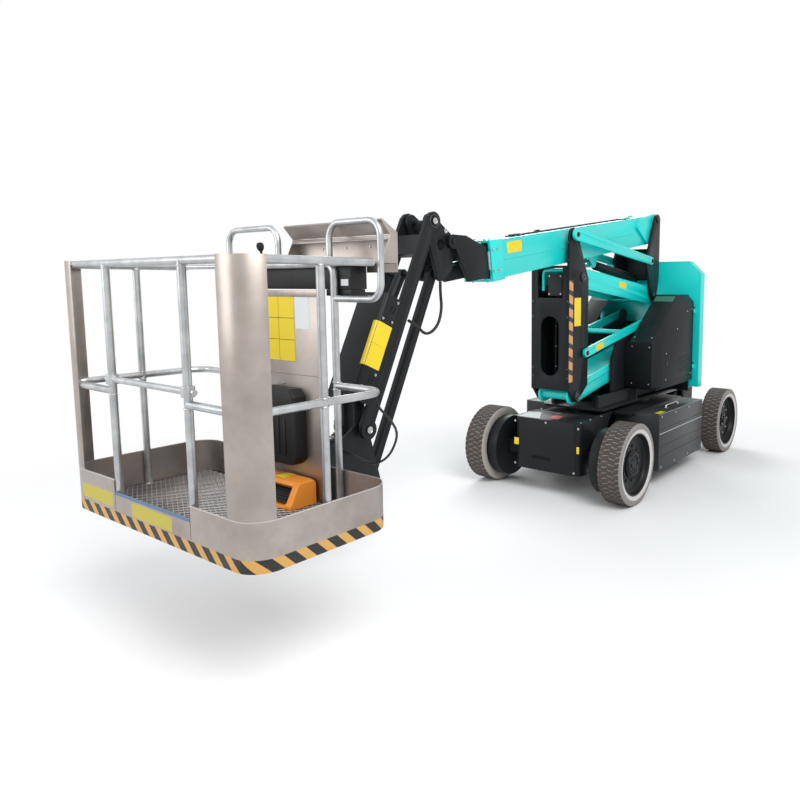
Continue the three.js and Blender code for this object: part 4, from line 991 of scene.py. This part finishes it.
inside = [
    block(at(862, -157, 900), at(868, 157, 1590), 0.001),
    block(at(1060, -33, 1557), at(1130, 96, 1729), 0.006, 3),
    tube(bent([at(1005, -32, 886), at(1003, -36, 1200), at(1000, -25, 1600)], 0.3, 6), 0.009),
    tube(bent([at(1010, 22, 886), at(1004, 30, 1250), at(1000, 18, 1600)], 0.3, 6), 0.009),
]
keep(inside, "column_inside", "column", black_plastic, 30)
fittings = bolts([(1129.5, y, z) for z in (1575, 1712) for y in (-20, 82)], (1, 0, 0), 0.005)
for z in (1000, 1160, 1320, 1480):
    for y in (-31 + (z - 1000) * 0.01, 28):
        fittings.append(ring(at(1004, y, z), (0, 0, 1), 0.0095, 0.003, 20))
keep(fittings, "column_fittings", "column", zinc, 30)
hook = [at(1112, y, z) for y, z in ((-84, 1600), (-84, 1757), (109, 1757), (109, 1600))]
keep([tube(bent(hook, 0.03, 8), 0.011, 20)], "column_hook", "column", turquoise, 40)
column_front, stud = 1147.8, [(0, 0), (0.008, 0), (0.006, 0.004), (0, 0.005)]
studs = [
    turned(stud, at(column_front, y, z), (1, 0, 0), 20)
    for y in (-157, 157) for z in (930, 1000, 1400, 1520, 1830, 1960)
]
keep(studs, "column_front_studs", "column", dark_bolt, 30)

slots, plates, beads, link_plates, rings = [], [], [], [], []
for side in both:
    # Dark plates on the arm's top stand for slots: painted shade inside them.
    for start, end in ((1000, 1085), (430, 530)):
        corners = [upper_at(d, y, 77) for d, y in rect(start, side * 96, end, side * 126)]
        slots.append(plate_at(corners, (0, 0, 0.0009)))
    out = (0, side * 0.001, 0)
    plates.append(plate_at([upper_at(d, side * 138, up) for d, up in rect(532, 0, 668, 52)], out))
    link_plates.append(plate_at([link_at(d, side * 205, up) for d, up in rect(1120, -24, 1246, 24)], out))
    for up in (-77, 77):
        beads.append(line_on(upper_at, 120, upper_run - 130, side * 137, up * 0.985, 0.0028))
    rings += [pin_ring(link_at(link_run, 205, 0), side), pin_ring(link_at(0, 205, 0), side)]
keep(slots, "upper_arm_slots", "upper_arm", shade_and_seam_black)
keep(plates, "upper_arm_plates", "upper_arm", yellow)
keep(beads, "upper_arm_welds", "upper_arm", turquoise, 60)
keep(link_plates, "lower_link_plates", "lower_link", yellow)
keep(rings, "lower_link_rings", "lower_link", zinc, 40)

# ---------- boom


def boom_block(lo, hi, bevel=0.001):
    """A box in the boom's own slope."""
    corners = [boom_at(x, lo[1], z) for x, z in rect(lo[0], lo[2], hi[0], hi[2])]
    return plate_at(corners, (0, (hi[1] - lo[1]) / 1000, 0), bevel)


boom_up = at(*boom_at(0, 0, 1000)) - at(*boom_at(0, 0, 0))
marks, fixings, seams = [], [], []
pads = [boom_block((2552, -46, z), (2558, 46, z + 12)) for z in (29, -208)]
for side in both:
    y0, y1 = sorted((side * 109.5, side * 111.0))
    marks.append(boom_block((2182, y0, -56), (2352, y1, 20), 0.0003))
    places = [boom_at(x, side * 122, z) for x in (2478, 2535) for z in (-11, -150)]
    fixings += bolts(places, (0, side, 0), 0.0085)
    fixings += bolts([boom_at(x, side * 62, 50.5) for x in (2478, 2535)], boom_up, 0.0085)
    fixings += bolts([boom_at(x, side * 62, -219.5) for x in (2478, 2535)], -boom_up, 0.0085)
    fixings.append(pin_end(boom_at(0, 138, 0), side, 0.040, 0.006))
    seams.append(line_on(boom_at, 420, 2416, side * 110, -92, 0.0022))
    seams.append(line_on(boom_at, 90, 2416, side * 109, 41, 0.0026))
    pads.append(boom_block((2552, side * 103 - 6, -140), (2558, side * 103 + 6, -25)))
keep(marks, "boom_plates", "main_boom", yellow)
keep(fixings, "boom_bolts", "main_boom", zinc, 30)
keep(seams, "boom_welds", "main_boom", turquoise, 60)
keep(pads, "boom_wear_pads", "main_boom", wear_pad, 30)
clamps = [
    boom_block((2040, -40, 42), (2166, 40, 50), 0.002), boom_block((2060, -26, 50), (2085, 26, 58), 0.003),
    boom_block((2120, -26, 50), (2145, 26, 58), 0.003), boom_block((360, -60, 42), (470, 60, 51), 0.002),
    boom_block((880, -14, 42), (930, 14, 49), 0.002),
]
keep(clamps, "boom_clamps", "main_boom", black_plastic, 30)
runs = [line_on(boom_at, 470, 2045, y, 47, 0.005, 12) for y in (-22, -8, 8)]
keep(runs, "boom_lines", "main_boom", grip_rubber, 40)

# ---------- jib and knuckle


def slot_outline(centre, y, z):
    """A long hole in the jib's cover: two half circles of 3.6 mm radius, 35 mm apart."""
    outline = []
    for k in range(16):
        c, s = math.cos(math.pi * (k / 7.5)), math.sin(math.pi * (k / 7.5))
        outline.append(jib_at(centre + (17.5 if c > 0 else -17.5) + 3.6 * c, y, z + 3.6 * s))
    return outline


slots, cover_bolts, bends, knuckle_ends, jib_ends, rings = [], [], [], [], [], []
for side in both:
    # Dark long plates on the cover stand for its slots: painted shade inside them.
    for centre in (610, 1016, 1118):
        for z in (88, 111):
            slots.append(plate_at(slot_outline(centre, side * 113.3, z), (0, side * 0.0008, 0), 0))
    places = [(676, 78), (680, 150), (983, 78), (1068, 150), (560, 78)]
    cover_bolts += bolts([jib_at(x, side * 113.5, z) for x, z in places], (0, side, 0), 0.006)
    bends.append(line_on(jib_at, 542, 1147, side * 105.5, 170, 0.0016, 6))
    knuckle_ends.append(pin_end(jib_at(0, 119.2, 0), side, 0.019, 0.005))
    knuckle_ends.append(pin_end((2508, 119.4, 1968), side, 0.014, 0.0045))
    jib_ends.append(pin_end(jib_at(1270, 119.2, 0), side, 0.019, 0.005))
    rings.append(pin_ring(jib_at(0, 113.5, 0), side, 0.036, 0.0035, 40))
keep(slots, "jib_cover_slots", "jib_arm", shade_and_seam_black)
keep(bends, "jib_cover_edges", "jib_arm", charcoal, 60)
jib_along = at(*jib_at(1000, 0, 0)) - at(*jib_at(0, 0, 0))
folded = [(113.4, 66), (114.5, 66), (114.5, 162.4), (98.0, 179.0), (80, 179.0), (80, 177.9), (97.4, 177.9),
          (113.4, 161.9)]
marks = [plate_at([jib_at(start, y, z) for y, z in folded], jib_along * 0.1255, 0) for start in (703, 829.5)]
keep(marks, "jib_cover_plates", "jib_arm", yellow, 30)
keep(cover_bolts, "jib_cover_bolts", "jib_arm", zinc, 30)
keep(knuckle_ends, "knuckle_pin_ends", "knuckle", zinc, 30)
keep(rings, "jib_boss_rings", "jib_arm", dark_bolt, 40)
keep(jib_ends, "jib_end_pins", "jib_end", zinc, 30)

# ---------- chassis and battery boxes

deck, cover_x, box_y = 597, 1200, 646.0
marks = [
    front_plate(rect(-300, 367, -256, 423), cover_x), front_plate(rect(277, 367, 300, 421), cover_x),
    top_plate(rect(330, 575, 450, 622), deck), top_plate(rect(-440, -560, -330, -604), deck),
]
keep(marks, "chassis_plates", "chassis", yellow)
# A dark plate stands for the front cover's slot: painted shade inside it.
keep([front_plate(rect(-130, 275, 43, 302), cover_x - 0.4)], "front_cover_slot", "chassis", shade_and_seam_black)
# A pale grey patch, then three thin strips painted as highlights along the deck's sheet folds.
deck_patch_and_highlights = [
    top_plate([(1188, -284), (986, -299), (947, -201), (1178, -72)], deck, 1.4),
    top_plate([(1190, -302), (890, -304), (890, -301), (1190, -298)], deck + 0.2, 3.0),
    top_plate([(886, -300), (935, -37), (931, -36), (882, -299)], deck + 0.2, 3.0),
    top_plate([(862, -292), (905, -40), (900, -39), (857, -291)], deck + 0.2, 2.0),
]
keep(deck_patch_and_highlights, "deck_pale_patch_and_highlight_strips", "chassis", pale_strip_and_highlight_paint)
keep([top_plate([(992, -44), (1086, -30), (1138, 20), (1120, 66), (1010, 40)], deck, 1.2)],
     "deck_red_patch", "chassis", red_paint)
places = [(cover_x - 0.5, y, z) for y, z in ((-290, 215), (255, 211), (290, 560), (-290, 560), (0, 575))]
dots = bolts(places, (1, 0, 0), 0.007)
dots += bolts([(-1205, y, 575) for y in (-240, -80, 80, 240)], (-1, 0, 0), 0.007)
dots += bolts([(x, side * 285, deck) for x in (820, 1000, 1150) for side in both], (0, 0, 1), 0.006)
grooves, edges, handles = [], [], []
for side in both:
    places = [(x, side * 646, z) for x in (-450, -120, 180, 465) for z in (575, 160)]
    dots += bolts(places, (0, side, 0), 0.007)
    # Dark strips stand for pressed grooves: painted shade in the recesses.
    for z in (470, 330, 250):
        grooves.append(side_plate(rect(-457, z, 504, z + 3.2), side * box_y, 0.5))
    for y in (505, 588):
        grooves.append(top_plate(rect(-180, side * y, 210, side * (y + 2)), deck, 0.8))
    edges.append(side_plate(rect(-457, 434, 504, 441), side * box_y, 1.6))
    edges.append(top_plate(rect(-458, side * 638, 506, side * 645), deck, 1.2))
    grip_line = [at(x, side * 545, z) for x, z in ((-115, deck), (-115, 617), (145, 617), (145, deck))]
    handles.append(tube(bent(grip_line, 0.014, 6), 0.005, 12))
    for x in (-115, 145):
        handles.append(rod(at(x, side * 545, 596.5), at(x, side * 545, 601), 0.013, 24, 0.001))
    name, lobe_y = side_name[side], side * 511
    keep([side_plate(rect(932, 538, 960, 552), lobe_y, 0.8)], f"lobe_plate_{name}", "chassis", yellow)
    places = [(1031.5 + x, lobe_y, 311 + z) for x, z in circle(10, 205)]
    keep(bolts(places, (0, side, 0), 0.006), f"lobe_bolts_{name}", "chassis", dark_bolt, 30)
keep(dots, "chassis_bolts", "chassis", zinc, 30)
keep(grooves, "battery_box_grooves", "chassis", shade_and_seam_black)
keep(edges, "battery_box_edges", "chassis", pale_strip_and_highlight_paint)
keep(handles, "battery_box_handles", "chassis", bright_zinc, 40)
folds = [tube([at(1196, y, 205), at(1196, y, 570)], 0.0032, 10) for y in (-265, 265)]
keep(folds, "front_cover_folds", "chassis", charcoal, 60)

# ---------- turret, hoods, counterweight

boss = [(0, 0), (0.028, 0), (0.030, 0.004), (0.030, 0.012), (0.026, 0.016), (0.016, 0.016), (0.014, 0.008),
        (0, 0.008)]
bosses = [
    turned(boss, at(x, side * 172, z), (0, side, 0), 40)
    for side in both for x, z in ((526, 693), (174, 645))
]
keep(bosses, "turret_bosses", "turret", dark_bolt, 30)
places = [(x, y, 597.5) for x, y in circle(24, 285)]
keep(bolts(places, (0, 0, 1), 0.0065), "slew_ring_bolts", "chassis", dark_bolt, 30)

down = Vector((530, 0, -400)).normalized()
out_of_roof = Vector((400, 0, 530)).normalized()
hood_y = 490.0
latch_cap = [(0, 0), (0.020, 0), (0.020, 0.003), (0.016, 0.005), (0, 0.005)]


def on_roof(distance, y):
    """A point on a hood's front slope, measured down from its crest."""
    return tuple(Vector((-330, y, 1550)) + down * distance)


for side in both:
    body = f"hood_{side_name[side]}"
    corners = [on_roof(d, side * y) for d, y in ((22, 236), (22, 420), (98, 420), (98, 236))]
    keep([plate_at(corners, out_of_roof * 0.001)], f"{body}_plate", body, green_plate)
    gaps = ((-560, 800, 60, 802.5), (-560, 800, -557.5, 1440), (-560, 1437.5, -430, 1440),
            (57.5, 802, 60, 1066))
    seams = [side_plate(rect(*gap), side * hood_y, 0.5) for gap in gaps]
    # Dark strips stand for vent slots: painted shade inside them.
    seams += [side_plate(rect(-480, z, -250, z + 7), side * hood_y, 0.6) for z in range(860, 1000, 22)]
    keep(seams, f"{body}_seams", body, shade_and_seam_black)
    places = [(-540, 1420), (-540, 820), (40, 820), (40, 1050), (-430, 1400), (-200, 1250)]
    dots = bolts([(x, side * hood_y, z) for x, z in places], (0, side, 0), 0.006)
    dots += bolts([(199.8, side * y, z) for y in (245, 405) for z in (790, 1110)], (1, 0, 0), 0.006)
    dots += bolts([on_roof(600, side * y) for y in (245, 405)], out_of_roof, 0.006)
    keep(dots, f"{body}_bolts", body, zinc, 30)
    latch = [
        turned(latch_cap, at(20, side * hood_y, 960), (0, side, 0), 32),
        block(at(10, side * 494 - 2, 956), at(30, side * 494 + 2, 964), 0.0008),
    ]
    keep(latch, f"{body}_latch", body, black_plastic, 30)

plug = [(0, 0), (0.032, 0), (0.032, 0.002), (0.024, 0.004), (0.020, 0.002), (0, 0.002)]
plugs = [turned(plug, at(-799.5, side * 330, z), (-1, 0, 0), 36) for side in both for z in (900, 1600)]
keep(plugs, "counterweight_plugs", "turret", dark_bolt, 30)
seams = [front_plate(rect(side * 120, 760, side * 420, 763), -801.0, 0.6) for side in both]
keep(seams, "counterweight_seams", "turret", shade_and_seam_black)

# ---------- floor, backdrop and sky


def blended(tree, share, first, second, output):
    """Mixes two shaders by a mask into a tree's output."""
    mix = tree.nodes.new("ShaderNodeMixShader")
    for source, socket in zip((share, first, second), mix.inputs):
        tree.links.new(source, socket)
    tree.links.new(mix.outputs[0], tree.nodes[output].inputs[0])


floor_finish = Finish("pale_floor", Roughness=0.9, Base_Color=(0.90, 0.90, 0.90))
x, y, _ = floor_finish.axes()
faded = (x * x + y * y).band(7.0, 22.0)
glow = floor_finish.node("ShaderNodeEmission", {}, {})
blended(floor_finish.tree, faded.socket, floor_finish.shader.outputs[0], glow.socket, "Material Output")
clear()
bpy.ops.mesh.primitive_plane_add(size=60, location=(0, 0, -0.0005))
floor = bpy.context.object
floor.name = "floor"
floor.data.materials.append(floor_finish.material)

world = bpy.data.worlds.new("studio")
bpy.context.scene.world = world
world.use_nodes = True
tree = world.node_tree
sky = tree.nodes["Background"]
sky.inputs["Color"].default_value = (0.95, 0.97, 1.0, 1)
sky.inputs["Strength"].default_value = 0.55
plain = tree.nodes.new("ShaderNodeBackground")
plain.inputs["Color"].default_value = (1, 1, 1, 1)
rays = tree.nodes.new("ShaderNodeLightPath")
seen = rays.outputs["Is Camera Ray"]
for kind in ("Is Glossy Ray", "Is Transmission Ray"):
    either = tree.nodes.new("ShaderNodeMath")
    either.operation = "MAXIMUM"
    tree.links.new(seen, either.inputs[0])
    tree.links.new(rays.outputs[kind], either.inputs[1])
    seen = either.outputs[0]
blended(tree, seen, sky.outputs[0], plain.outputs[0], "World Output")
